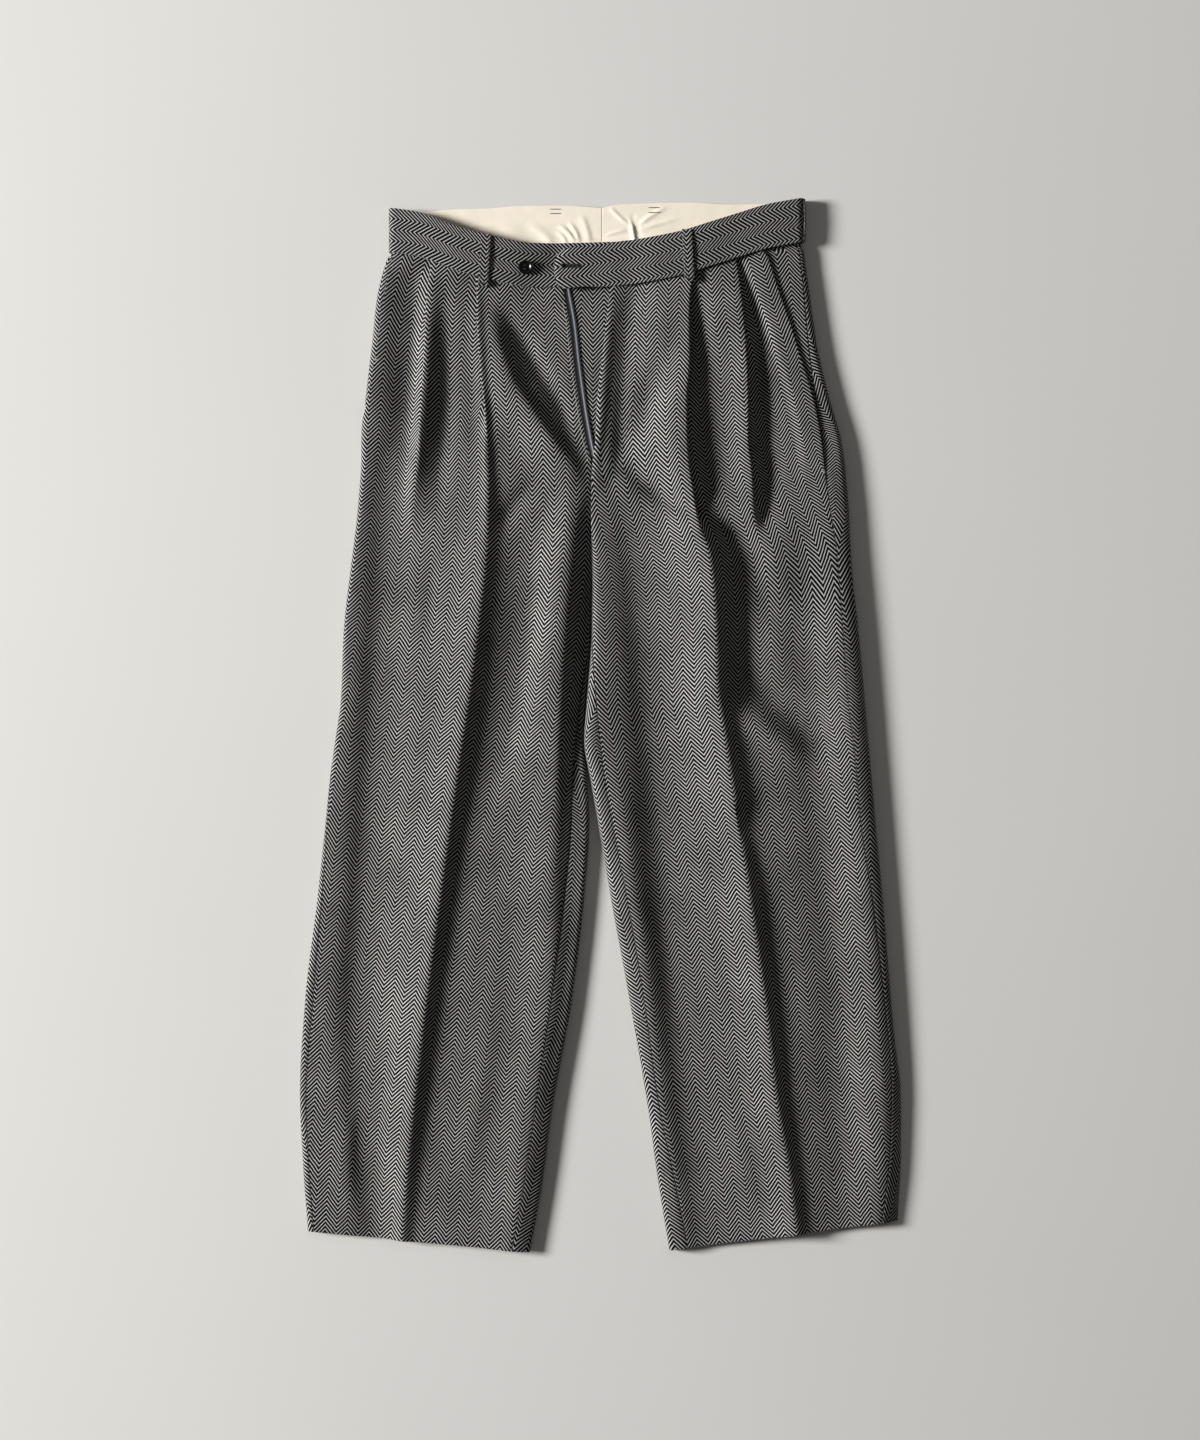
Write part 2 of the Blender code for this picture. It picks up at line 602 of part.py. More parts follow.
def sheet(name, grid, wall, colour, roughness=0.9):
    """A cloth piece: an open surface through a grid of points, given its wall by Solidify."""
    rows, columns = grid.shape[:2]
    build = bmesh.new()
    corners = [[build.verts.new(point) for point in line] for line in grid]
    for i in range(rows - 1):
        for j in range(columns - 1):
            build.faces.new((corners[i][j], corners[i][j + 1], corners[i + 1][j + 1], corners[i + 1][j]))
    bmesh.ops.recalc_face_normals(build, faces=build.faces)
    mesh = bpy.data.meshes.new(name)
    build.to_mesh(mesh)
    build.free()
    mesh.shade_smooth()
    made = bpy.data.objects.new(name, mesh)
    mesh.materials.append(material(name, colour, roughness))
    solid = made.modifiers.new("wall", "SOLIDIFY")
    solid.thickness = wall * MM
    solid.offset = 0.0
    solid.use_quality_normals = True
    parts().objects.link(made)
    return made


def collection(name):
    found = bpy.data.collections.get(name)
    if found is None:
        found = bpy.data.collections.new(name)
        bpy.context.scene.collection.children.link(found)
    return found


def parts():
    return collection(NAME)


def panel(name, half, section, edge):
    grid = []
    for row in ROWS:
        points = section(half, row)
        grid.append(to_space(half, points[:, 0], down_at(half, points[:, 0], row, edge), points[:, 1]))
    return sheet(name, np.array(grid), WALL, CLOTH)


def facing(half):
    """Pocket facing: from under the front, past the mouth, to the side seam."""
    grid = []
    for row in [row for row in ROWS if row <= FACING_END[half]]:
        section = Section(half, row)
        ring, length, widest, _ = section.ring()
        start = widest - along_fold(plan(half, "mouth", row), section.outer_radius) - FACING_UNDER
        seam = widest - along_fold(plan(half, "seam", row), section.outer_radius) - GAP
        points = spread(ring, length, start, seam, FACING_STRIPS)
        grid.append(to_space(half, points[:, 0], down_at(half, points[:, 0], row), points[:, 1]))
    return sheet(f"pocket_facing_{half}", np.array(grid), WALL, CLOTH)


def back_centre(half):
    """Out of the centre back seam of the waistband."""
    return SIGN[half] * BACK_CENTRE


def band_path(half):
    """Waistband along its length: out, height and turn round the side fold (0 front, 1 back)."""
    fold = BAND_FOLD[half] - BAND_WALL / 2
    high = float(band_height(half, fold))
    radius = (high - BAND_BACK) / 2
    front_end = UNDERLAP_END if half == "right" else TAB_END
    steps = np.array(TAB_STEPS if half == "left" else TAB_STEPS[::len(TAB_STEPS) - 1])
    flat = np.linspace(front_end + steps[-1], fold - radius, BAND_STRIPS["front"] + 1)[1:]
    front = np.r_[front_end + steps, flat]
    angles = np.linspace(0, math.pi, BAND_STRIPS["fold"] + 1)[1:]
    back = np.linspace(fold - radius, back_centre(half) + SEAM / 2, BAND_STRIPS["back"] + 1)[1:]
    outs = np.concatenate([front, fold - radius * (1 - np.sin(angles)), back])
    heights = np.concatenate([band_height(half, front), BAND_BACK + radius * (1 + np.cos(angles)),
                              np.full(len(back), BAND_BACK)])
    turns = np.concatenate([np.zeros(len(front)), angles / math.pi, np.ones(len(back))])
    return outs, heights, turns


def waistband(half):
    """One half of the waistband: front, round the side fold, to the centre back."""
    outs, heights, turns = band_path(half)
    tops = (1 - turns) * top_edge(half, outs) + turns * back_edge(half, outs)
    tall = np.full(len(outs), BAND_HEIGHT)
    if half == "left":
        start, ramp = TAB_TAPER
        tall = tall - (BAND_HEIGHT - TAB_HEIGHT) * (1 - smooth((outs - start) / ramp)) * (turns == 0)
        nose = np.clip((TAB_END + TAB_ROUND - outs) / TAB_ROUND, 0, 1) * (turns == 0)
        nip = TAB_NIP * tall * (1 - np.sqrt(1 - nose ** 2))
        tops, tall = tops + nip, tall - 2 * nip
    grid = [to_space(half, outs, tops + tall * share, heights) for share in (0.0, 0.5, 1.0)]
    return sheet(f"waistband_{half}", np.array(grid), BAND_WALL, CLOTH)


def lining(half):
    """Cream lining inside the back of the waistband."""
    outs = np.linspace(back_centre(half) + SEAM / 2, LINING_OUT[half], LINING_STRIPS + 1)
    low = BAND_BACK + BAND_WALL / 2 + SEAM + WALL / 2
    high = low + WALL + SEAM
    grid = []
    for reach, level in ((LINING_DROP, low), (LINING_STEP / 2, low), (LINING_STEP, low),
                         (LINING_STEP + LINING_RAMP, high), (LINING_LENGTH, high)):
        grid.append(to_space(half, outs, back_edge(half, outs) + reach, np.full(len(outs), level)))
    return sheet(f"waistband_lining_{half}", np.array(grid), WALL, CREAM)


def loop_strip(name, grid):
    return sheet(name, np.array(grid), LOOP_WALL, CLOTH)


def front_loop(half):
    """Front belt loop: over the waistband, down onto the front below it."""
    middle = FRONT_LOOPS[half]
    top = float(top_edge(half, middle))
    clear = BAND_WALL / 2 + SEAM + LOOP_WALL / 2
    grid = []
    for share in LOOP_SHARES:
        down = top + LOOP_INSET + share * LOOP_LENGTH
        outs = middle + np.array([-0.5, 0.0, 0.5]) * LOOP_WIDTH + LOOP_LEAN * (share - 0.5)
        bulge = LOOP_BULGE * math.sin(math.pi * min(share / LOOP_SEWN, 1.0))
        grid.append(to_space(half, outs, np.full(3, down), band_height(half, outs) + clear + bulge))
    return loop_strip(f"belt_loop_front_{half}", grid)


def under_loop(name, half, middle):
    """Belt loop on the underside of the waistband, flat on the floor."""
    top = float(back_edge(half, middle))
    grid = []
    for share in (0.0, 0.5, 1.0):
        outs = middle + np.array([-0.5, 0.5]) * LOOP_WIDTH
        low = np.full(2, LOOP_WALL / 2)
        grid.append(to_space(half, outs, np.full(2, top + LOOP_INSET + share * LOOP_LENGTH), low))
    return loop_strip(name, grid)


def side_loop(half):
    """Belt loop edge-on at the side fold of the waistband."""
    fold = BAND_FOLD[half] - BAND_WALL / 2
    radius = (float(band_height(half, fold)) - BAND_BACK) / 2
    clear = radius + BAND_WALL / 2 + SEAM + LOOP_WALL / 2
    angles = np.linspace(-0.5, 0.5, 5) * LOOP_WIDTH / clear
    grid = []
    for share in (0.0, 0.25, 0.5, 0.75, 1.0):
        reach = clear + LOOP_BULGE * math.sin(math.pi * share)
        outs = fold - radius + reach * np.cos(angles)
        heights = BAND_BACK + radius + reach * np.sin(angles)
        down = float(top_edge(half, BAND_FOLD[half])) + LOOP_INSET + share * (BAND_HEIGHT - 2 * LOOP_INSET)
        grid.append(to_space(half, outs, np.full(5, down), heights))
    return loop_strip(f"belt_loop_side_{half}", grid)


def fly_shield():
    """Cloth shield behind the zip, sewn to the wearer's right."""
    grid = []
    for values in SHIELD:
        edge = dict(zip(SHIELD_COLUMNS, values))
        outs = np.linspace(edge["right_edge"], edge["left_edge"], SHIELD_STRIPS + 1)
        grid.append(to_space("right", outs, np.full(len(outs), edge["down"]), np.full(len(outs), SHIELD_Z)))
    return sheet("fly_shield", np.array(grid), WALL, CLOTH)


def zip_tape(half):
    """Zip tape under the edge of one front, showing half its width on the wearer's right."""
    grid = []
    for down in np.linspace(TAPE_TOP[half], TAPE_FOOT, TAPE_ROWS):
        edge = float(np.interp(down, *fly_line(half)))
        outs = edge - TAPE_SHOWN[half] + np.array([0.0, 0.5, 1.0]) * TAPE_WIDTH
        grid.append(to_space(half, outs, np.full(3, down), np.full(3, TAPE_Z[half])))
    return sheet(f"zip_tape_{half}", np.array(grid), WALL, TAPE, 0.8)


def fly_line(half):
    """The fly edge of one front: real downs, and outs."""
    rows = np.linspace(WAIST, FLY_FOOT, 30)
    outs = np.array([plan(half, "centre", row) for row in rows])
    return down_at(half, outs, rows), outs


def box_mesh(name, size):
    build = bmesh.new()
    bmesh.ops.create_cube(build, size=1.0)
    bmesh.ops.scale(build, vec=np.array(size) * MM, verts=build.verts)
    mesh = bpy.data.meshes.new(name)
    build.to_mesh(mesh)
    build.free()
    return mesh


def box(name, size, place, colour, roughness, metallic=0.0):
    mesh = box_mesh(name, size)
    made = bpy.data.objects.new(name, mesh)
    mesh.materials.append(material(name, colour, roughness, metallic))
    made.location = place
    parts().objects.link(made)
    return made


def slider():
    """Zip slider at the foot of the open zip."""
    down = TAPE_FOOT + SEAM + SLIDER[1] / 2
    place = to_space("left", np.array(SLIDER_OUT), np.array(down), np.array(SLIDER_Z))
    made = box("zip_slider", SLIDER, place, STEEL, 0.35, 1.0)
    bevel = made.modifiers.new("edges", "BEVEL")
    bevel.width = SLIDER_EDGE * MM
    bevel.segments = 2
    return made


def cutter(name, mesh, place):
    made = bpy.data.objects.new(name, mesh)
    made.location = place
    made.hide_render = True
    made.display_type = "WIRE"
    collection("cutters").objects.link(made)
    return made


def cylinder_mesh(name, radius, depth, sides):
    build = bmesh.new()
    bmesh.ops.create_cone(build, cap_ends=True, segments=sides, radius1=radius * MM, radius2=radius * MM,
                          depth=depth * MM)
    mesh = bpy.data.meshes.new(name)
    build.to_mesh(mesh)
    build.free()
    return mesh


def cut(target, tool, name):
    boolean = target.modifiers.new(name, "BOOLEAN")
    boolean.operation = "DIFFERENCE"
    boolean.solver = "EXACT"
    boolean.object = tool


def button():
    """Waist button: a turned disc with a raised rim and four holes."""
    rim, dish = BUTTON_RADIUS - BUTTON_RIM, BUTTON_THICK - BUTTON_DISH
    profile = ((0, 0), (BUTTON_RADIUS - BUTTON_FOOT, 0), (BUTTON_RADIUS, BUTTON_FOOT),
               (BUTTON_RADIUS, BUTTON_THICK - BUTTON_RIM / 2), (BUTTON_RADIUS - BUTTON_RIM / 2, BUTTON_THICK),
               (rim, BUTTON_THICK - BUTTON_DISH / 8), (rim - BUTTON_RIM, dish), (0, dish))
    mesh = bpy.data.meshes.new("waist_button")
    build = bmesh.new()
    points = [build.verts.new((x * MM, 0, z * MM)) for x, z in reversed(profile)]
    for a, b in zip(points, points[1:]):
        build.edges.new((a, b))
    build.to_mesh(mesh)
    build.free()
    made = bpy.data.objects.new("waist_button", mesh)
    mesh.materials.append(material("waist_button", BLACK, 0.15))
    level = float(band_height("right", BUTTON_OUT + BUTTON_RADIUS)) + BAND_WALL / 2 + SEAM
    made.location = to_space("right", np.array(BUTTON_OUT), np.array(BUTTON_DOWN), np.array(level))
    screw = made.modifiers.new("turned", "SCREW")
    screw.steps = screw.render_steps = BUTTON_SIDES
    screw.use_merge_vertices = True
    screw.merge_threshold = MERGE
    parts().objects.link(made)
    hole = cylinder_mesh("button_hole", BUTTON_HOLE, BUTTON_THICK * 3, CUT_SIDES["button_hole"])
    for i in range(4):
        angle = math.pi / 4 + i * math.pi / 2
        place = np.array(made.location) + BUTTON_HOLE_OFF * MM * np.array([math.cos(angle), math.sin(angle), 0])
        cut(made, cutter(f"button_hole_{i}", hole, place), f"hole_{i}")
    return made


def buttonhole(band):
    """Keyhole cut through the tab: a round eye and a slit."""
    level = float(band_height("left", EYE_OUT))
    eye = cylinder_mesh("eye", EYE_RADIUS, BAND_WALL * 4, CUT_SIDES["eye"])
    place = to_space("left", np.array(EYE_OUT), np.array(EYE_DOWN), np.array(level))
    cut(band, cutter("eye", eye, place), "eye")
    slit = box_mesh("slit", (SLIT_LENGTH, SLIT_WIDTH, BAND_WALL * 4))
    place = to_space("left", np.array(EYE_OUT + SLIT_LENGTH / 2), np.array(EYE_DOWN), np.array(level))
    cut(band, cutter("slit", slit, place), "slit")


def clear_scene():
    for held in list(bpy.data.objects):
        bpy.data.objects.remove(held, do_unlink=True)


def main():
    clear_scene()
    for half in ("right", "left"):
        panel(f"front_panel_{half}", half, front_section, top_edge)
        panel(f"back_panel_{half}", half, back_section, back_edge)
        facing(half)
        band = waistband(half)
        if half == "left":
            buttonhole(band)
        lining(half)
        front_loop(half)
        under_loop(f"belt_loop_back_{half}", half, BACK_LOOPS[half])
        zip_tape(half)
    side_loop("left")
    under_loop("belt_loop_side_right", "right", SIDE_LOOP_UNDER)
    fly_shield()
    slider()
    button()


main()
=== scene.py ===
"""Pleated wool dress trousers laid flat with the front up: the cloth, lining, zip, button and
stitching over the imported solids, on a pale floor in soft studio light.

+X points across the trousers to the wearer's left, +Y from the hems to the waist, +Z up. Tables
are in millimetres: "out" is measured outward from the middle of the trousers, "down" from the
side corner of the waistband towards the hems. A row of a panel is a nominal "down" that follows
the waist seam at the top and the hem at the bottom.
"""

import math

import bmesh
import bpy
import numpy as np
from bpy.props import FloatProperty, PointerProperty, StringProperty
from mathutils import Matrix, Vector
from mathutils.bvhtree import BVHTree


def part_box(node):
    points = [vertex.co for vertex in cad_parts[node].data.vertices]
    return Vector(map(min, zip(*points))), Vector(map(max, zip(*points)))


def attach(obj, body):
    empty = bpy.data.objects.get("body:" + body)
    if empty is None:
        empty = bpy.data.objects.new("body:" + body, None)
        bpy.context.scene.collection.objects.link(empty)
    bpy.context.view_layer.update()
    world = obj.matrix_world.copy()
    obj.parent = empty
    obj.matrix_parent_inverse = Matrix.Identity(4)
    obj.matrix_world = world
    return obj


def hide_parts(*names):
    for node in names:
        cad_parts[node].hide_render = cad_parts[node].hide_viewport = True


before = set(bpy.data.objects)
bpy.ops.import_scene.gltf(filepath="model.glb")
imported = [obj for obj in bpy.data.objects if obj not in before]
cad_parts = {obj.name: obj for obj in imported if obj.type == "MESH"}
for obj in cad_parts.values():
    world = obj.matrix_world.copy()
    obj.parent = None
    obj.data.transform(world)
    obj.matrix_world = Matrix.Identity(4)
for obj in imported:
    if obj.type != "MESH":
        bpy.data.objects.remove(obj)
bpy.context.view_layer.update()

bl_info = {
    "name": "Pleated dress trousers",
    "version": (1, 0, 0),
    "blender": (4, 5, 0),
    "location": "3D View > Sidebar > Trousers",
    "description": "Herringbone trousers laid flat, with their stitching and studio light",
    "category": "Object",
}

MM = 0.001

# Cloth, and how near pieces come to each other
WALL = 1.0
BAND_WALL = 2.2
SEAM = 0.3
GAP = 0.4
FLOOR = WALL / 2

# Landmarks down the trousers
WAIST = 60.0
FADE_END = 240.0
FLY_FOOT = 265.0
CLIMB_FROM = 275.0
CROTCH = 360.0
HEM_FADE = 700.0
HEM = 1040.0

# Each row is a section across one half. "outer" is the outer fold, "mouth" and "seam" how far
# inside it the front and the back end (negative: past the fold, on the underside), "pleat" and
# "crease" the two fold lines, "centre" the front's inner edge, and "inner" the inner fold, or the
# centre back seam above the crotch.
PLAN_COLUMNS = ("down", "outer", "mouth", "seam", "pleat", "crease", "centre", "inner")
PLAN = {
    "right": (
        (60, 203.5, 3.5, -18, 160, 115, 29, -10),
        (100, 215, 7, -15, 165, 114.5, 22.5, -10),
        (150, 221, 5, -9, 167, 112, 18, -8),
        (205, 227.8, 2.2, -1.8, 170.6, 107.8, 11.8, -5.9),
        (222, 229.5, 0.3, 0.3, 172.5, 107, 9.2, -5.5),
        (247, 231, -1.4, -1.4, 174.6, 105.2, 4.6, -4.7),
        (265, 231.5, -2.4, -2.4, 176, 104.5, 0.4, -4),
        (285, 233, -3.4, -3.4, 178, 104.3, 1.2, -2.8),
        (310, 235, -4.5, -4.5, 180, 104.5, 1.3, -1.5),
        (360, 241, -4.5, -4.5, 184, 107, 0.5, 0.5),
        (430, 249, -3.5, -3.5, 189, 115, 2.2, 1.2),
        (500, 252, -2, -2, 193, 124, 12, 6.2),
        (540, 257.5, -1, -1, 199, 130.5, 17, 8.6),
        (580, 263, 1, 1, 204, 136, 20, 4.8),
        (620, 267, 2, 2, 208, 142, 21, 2.5),
        (700, 275.5, 4.5, 4.5, 218, 153, 28, 8),
        (800, 287.5, 8, 8, 230, 166.5, 41.5, 20.5),
        (900, 293, 6.5, 6.5, 238, 178.5, 57, 39.5),
        (970, 290, 6, 6, 239, 186, 68, 49.5),
        (1040, 285, 6, 6, 238, 191.5, 81, 62),
    ),
    "left": (
        (60, 211, 37, 3.6, 144, 100, 18, 10.3),
        (100, 217, 30.5, 5, 149.5, 97.5, 14, 10.3),
        (150, 225, 20.5, 8, 154, 98, 9.3, 8.3),
        (200, 238, 16.5, 14, 156, 95, 5, 6.3),
        (240, 250, 20, 19.5, 156, 95.5, 3.3, 5.3),
        (265, 253.5, 20.7, 20.7, 159, 97, 0.3, 4.3),
        (285, 255.3, 19.8, 19.8, 161.2, 100.5, -0.8, 3.2),
        (310, 257.5, 18.5, 18.5, 164, 105, -1, 1.8),
        (360, 260, 14, 14, 172, 118, -0.1, -0.1),
        (430, 267, 15.5, 15.5, 180, 124, 0.4, -0.6),
        (500, 273.5, 17, 17, 190, 126, 4.5, -5.2),
        (540, 277, 15.5, 15.5, 197, 133, 8.5, -8),
        (580, 280.5, 15, 15, 203, 139, 13.5, -1.5),
        (620, 284, 15, 15, 209, 146, 20.5, 5.5),
        (700, 291.5, 10.5, 10.5, 219, 158, 36, 19),
        (800, 299.5, 7, 7, 231, 172.5, 53, 38),
        (900, 306, 5.5, 5.5, 241, 184, 68, 56),
        (970, 304, 5.5, 5.5, 245, 196, 83, 66),
        (1040, 296, 5.5, 5.5, 246, 205, 96.5, 77.5),
    ),
}

# How far the cloth of the underside comes out past the outer fold at the hem
PEEK_COLUMNS = ("down", "peek")
PEEK = {
    "right": ((60, 0), (1040, 0)),
    "left": ((60, 0), (840, 0), (900, 5.5), (970, 8.5), (1040, 14)),
}

# Height of the top cloth at the inner fold, halfway to the crease, at the crease, halfway to the
# side and at the outer fold, and how far the pressed crease stands above that. Its ridge falls away
# over RIDGE_WIDTH and is rounded over RIDGE_ROUND, and folds fade in over BASE_FADE from both sides
HEIGHT_COLUMNS = ("down", "edge_in", "mid_in", "top", "mid_out", "edge_out", "ridge")
HEIGHTS = {
    "right": (
        (60, 12.0, 12.0, 13.8, 12.4, 10.5, 0.0),
        (150, 12.0, 12.5, 14.4, 12.8, 11.0, 0.0),
        (200, 11.8, 12.6, 14.0, 12.6, 11.0, 0.8),
        (265, 11.5, 12.2, 13.2, 12.2, 10.6, 2.4),
        (360, 11.0, 12.0, 12.4, 11.6, 10.2, 3.4),
        (500, 10.0, 11.4, 11.8, 11.0, 10.0, 3.6),
        (620, 9.6, 11.0, 11.6, 10.8, 9.8, 3.6),
        (800, 9.2, 10.6, 11.2, 10.4, 9.4, 3.4),
        (1040, 8.6, 9.4, 10.0, 9.4, 8.8, 2.8),
    ),
    "left": (
        (60, 14.6, 14.6, 14.8, 12.6, 10.5, 0.0),
        (150, 15.0, 15.2, 15.6, 13.2, 11.4, 0.0),
        (200, 14.8, 15.0, 15.4, 13.2, 11.6, 0.3),
        (265, 14.0, 14.6, 15.0, 13.2, 12.0, 1.4),
        (360, 14.0, 13.8, 14.0, 13.0, 12.0, 3.6),
        (500, 17.0, 13.8, 13.0, 12.2, 11.6, 3.8),
        (540, 18.0, 14.0, 13.0, 12.2, 11.4, 3.8),
        (620, 16.5, 13.6, 12.6, 11.8, 11.0, 3.8),
        (800, 12.5, 12.0, 11.8, 11.0, 10.2, 3.4),
        (1040, 9.4, 9.8, 10.0, 9.6, 9.0, 2.8),
    ),
}
RIDGE_WIDTH = 16.0
RIDGE_ROUND = 1.2
BASE_FADE = 20.0

# Reverse pleats: each is a Z of three layers whose fold faces the side. "depth" is the cloth taken
# in at the waist, "band" and "full" the fold's radius under the waistband and where it is fullest,
# and "opens" and "flat" the rows where the Z begins to open and has gone. The rest keep its layer and
# turn above nothing, let its fold swell below the waist, and ramp the cloth's height beside it
PLEAT_COLUMNS = ("line", "depth", "band", "full", "opens", "flat")
PLEATS = {
    "right": (
        ("crease", 20, 0.85, 1.0, 175, 255),
        ("pleat", 16, 0.85, 1.0, 190, 275),
    ),
    "left": (
        ("crease", 22, 0.85, 2.2, 285, 355),
        ("pleat", 16, 0.85, 1.6, 265, 340),
    ),
}
PLEAT_LEAST = 3.0
LEAST_TURN = 0.003
PLEAT_CLEAR = 3.0
PLEAT_SWELL = 60.0
RAMP_IN = 30.0
RAMP_OUT = 25.0

# Largest soft folds of the fronts, as a ridge (or a trough, below zero) along a straight line
FOLD_COLUMNS = ("down_a", "out_a", "down_b", "out_b", "width", "height")
FOLDS = {
    "right": (
        (285, 22, 590, 66, 11, 2.2),
        (330, 9, 520, 15, 8, -2.0),
    ),
    "left": (
        (190, 82, 262, 48, 9, 1.4),
        (320, 196, 395, 184, 20, 1.6),
        (470, 140, 552, 255, 17, -1.8),
    ),
}

# Softer folds laid over both halves' top cloth, each a ridge (or a trough, below zero) along a
# line: its reach towards the middle and towards the side, then down, out and height on the way
RELIEF = {
    "right": (
        # hollow inside the side fold's roll
        (26, 18, ((230, 202, 0), (290, 203, -1.8), (351, 204, -3.0), (480, 210, -3.4), (587, 217, -3.4),
                  (694, 224, -3.4), (801, 231, -3.2), (908, 228, -3.0), (980, 218, -2.8), (1053, 210, -2.2))),
        (10, 20, ((64, 178, -1.6), (110, 181, -3.0), (180, 184, -3.4), (240, 188, -3.2), (290, 193, -1.6),
                  (320, 196, 0))),
        # pressed crease, steeper on its inner side, and the hollow beside it
        (10, 21, ((270, 104, 0), (330, 105, 1.2), (430, 115, 1.8), (500, 124, 2.2), (580, 136, 2.4),
                  (700, 153, 2.4), (800, 166.5, 2.3), (900, 178.5, 2.2), (970, 186, 2.0), (1053, 192, 1.7))),
        (12, 32, ((320, 66, 0), (370, 60, -1.6), (430, 62, -2.2), (500, 74, -1.8), (570, 94, -1.0),
                  (640, 114, 0))),
        # drag fold from the foot of the fly down the inner thigh to the inseam
        (12, 25, ((262, 12, 0), (300, 14, 1.8), (351, 18, 3.0), (409, 25, 3.8), (480, 31, 3.8),
                  (551, 35, 3.4), (623, 38, 2.4), (694, 40, 2.0), (800, 43, 1.9), (900, 58, 1.9),
                  (970, 68, 1.8), (1053, 80, 1.5))),
        (7, 8, ((300, 4, 0), (350, 8, -1.6), (430, 11, -2.6), (520, 17, -2.2), (590, 22, -0.6))),
        # slanting fold from the first pleat to the foot of the fly, and the hollow above it
        (9, 23, ((104, 107, 0), (140, 97, 1.6), (187, 78, 2.9), (237, 44, 3.4), (262, 24, 2.2),
                 (285, 12, 0))),
        (10, 8, ((100, 92, 0), (130, 78, -1.2), (173, 52, -1.8), (212, 28, -1.6), (240, 12, -0.6))),
        # rolls along the two pleats, and the hollow inside the second
        (9, 7, ((64, 160, 0), (110, 164, 1.2), (160, 167, 2.4), (215, 171, 2.8), (270, 177, 2.4),
                (300, 180, 1.3), (350, 184, 0))),
        (10, 8, ((70, 144, 0), (130, 146, -1.0), (200, 147, -1.4), (280, 152, -1.0), (330, 156, 0))),
        (4, 6, ((70, 115, 0), (130, 113.5, 1.0), (200, 108, 1.2), (280, 104, 1.1), (330, 105, 0.4))),
        # small slack places on the thigh
        (9, 9, ((330, 96, 0), (312, 84, -0.9), (288, 62, -0.8), (276, 50, 0))),
        (9, 11, ((350, 158, 0), (385, 161, -0.9), (430, 163, -0.8), (470, 166, 0))),
        (12, 12, ((620, 186, 0), (680, 196, -0.5), (740, 200, 0.0))),
        (14, 12, ((780, 96, 0), (850, 104, 0.6), (930, 120, 0.7), (1000, 130, 0))),
        (10, 10, ((900, 236, 0), (940, 244, 0.6), (985, 246, 0.5), (1020, 240, 0))),
    ),
    "left": (
        # roll of the fly's fold edge, and the hollow beside it
        (4, 9, ((88, 20, 0.4), (130, 15, 1.0), (180, 11, 1.2), (230, 8, 1.2), (262, 5, 0.8), (290, 3, 0))),
        (12, 12, ((84, 44, -0.5), (130, 36, -1.0), (190, 30, -1.2), (235, 24, -2.0), (272, 20, -1.4),
                  (300, 18, 0))),
        # bright triangle between the fly and the first pleat
        (14, 16, ((100, 96, 0), (140, 84, -0.8), (180, 66, -1.4), (215, 52, -1.8), (250, 38, -1.4),
                  (275, 30, 0))),
        (38, 11, ((70, 100, 0), (110, 98, 0.8), (160, 97, 2.0), (220, 95.5, 3.0), (262, 96, 3.4),
                  (292, 99, 2.4), (318, 106, 0.8), (340, 112, 0))),
        (11, 11, ((262, 32, 0), (272, 42, -2.2), (291, 66, -3.0), (310, 96, -2.0), (324, 112, 0))),
        # pressed crease, pinched below the pleat, and the hollows beside it
        (27, 10, ((300, 106, 0), (330, 111, 2.2), (361, 118, 3.4), (400, 122, 3.6), (450, 124, 3.4),
                  (490, 125, 3.0), (540, 133, 2.4), (600, 142.5, 2.2))),
        (20, 9, ((540, 133, 0), (600, 142.5, 0.6), (700, 158, 2.4), (800, 172.5, 2.4), (900, 184, 2.2),
                 (970, 196, 2.0), (1053, 206, 1.7))),
        (10, 24, ((300, 124, 0), (335, 136, -1.8), (380, 144, -2.2), (440, 147, -2.2), (480, 150, -1.2),
                  (530, 158, 0))),
        # hollow inside the inner edge's roll, all down the leg
        (22, 34, ((290, 34, 0), (337, 42, -2.0), (450, 56, -3.2), (573, 66, -3.2), (700, 78, -2.4),
                  (837, 92, -1.4), (960, 108, -1.0), (1053, 116, -0.8))),
        (12, 14, ((560, 22, 0), (620, 32, 0.8), (720, 46, 1.2), (837, 62, 1.2), (950, 78, 1.1),
                  (1053, 92, 0.6))),
        # slanting hollows across the outer thigh, each with its roll
        (13, 20, ((466, 132, 0), (480, 150, -1.8), (499, 180, -2.4), (526, 216, -1.8), (548, 242, 0))),
        (12, 12, ((500, 132, 0), (522, 160, 1.2), (545, 190, 1.5), (564, 222, 0))),
        (14, 16, ((322, 126, 0), (352, 150, -1.2), (392, 172, -1.2), (430, 192, 0))),
        # roll along the second pleat and the hollow beyond it
        (12, 8, ((64, 144, 0), (110, 150, 1.0), (160, 155, 1.8), (215, 157, 2.4), (260, 158.5, 2.2),
                 (300, 162, 1.2), (340, 168, 0))),
        (8, 14, ((90, 160, 0), (160, 168, -0.8), (240, 172, -1.2), (300, 176, -0.8), (340, 182, 0))),
        # roll inside the side seam, and the hollow before it
        (24, 12, ((240, 236, 0), (300, 240, 0.8), (380, 247, 1.4), (500, 257, 1.7), (620, 268, 1.7),
                  (800, 283, 1.7), (900, 289, 1.6), (970, 288, 1.4), (1053, 281, 0.8))),
        (22, 22, ((330, 200, 0), (420, 212, -1.0), (620, 232, -1.2), (800, 248, -1.2), (950, 254, -1.0),
                  (1053, 252, -0.6))),
        # small slack places
        (10, 10, ((690, 60, 0), (740, 74, -0.5), (800, 84, -0.4), (840, 92, 0))),
        (14, 10, ((900, 140, 0), (940, 146, 0.5), (990, 160, 0.5), (1030, 168, 0))),
    ),
}

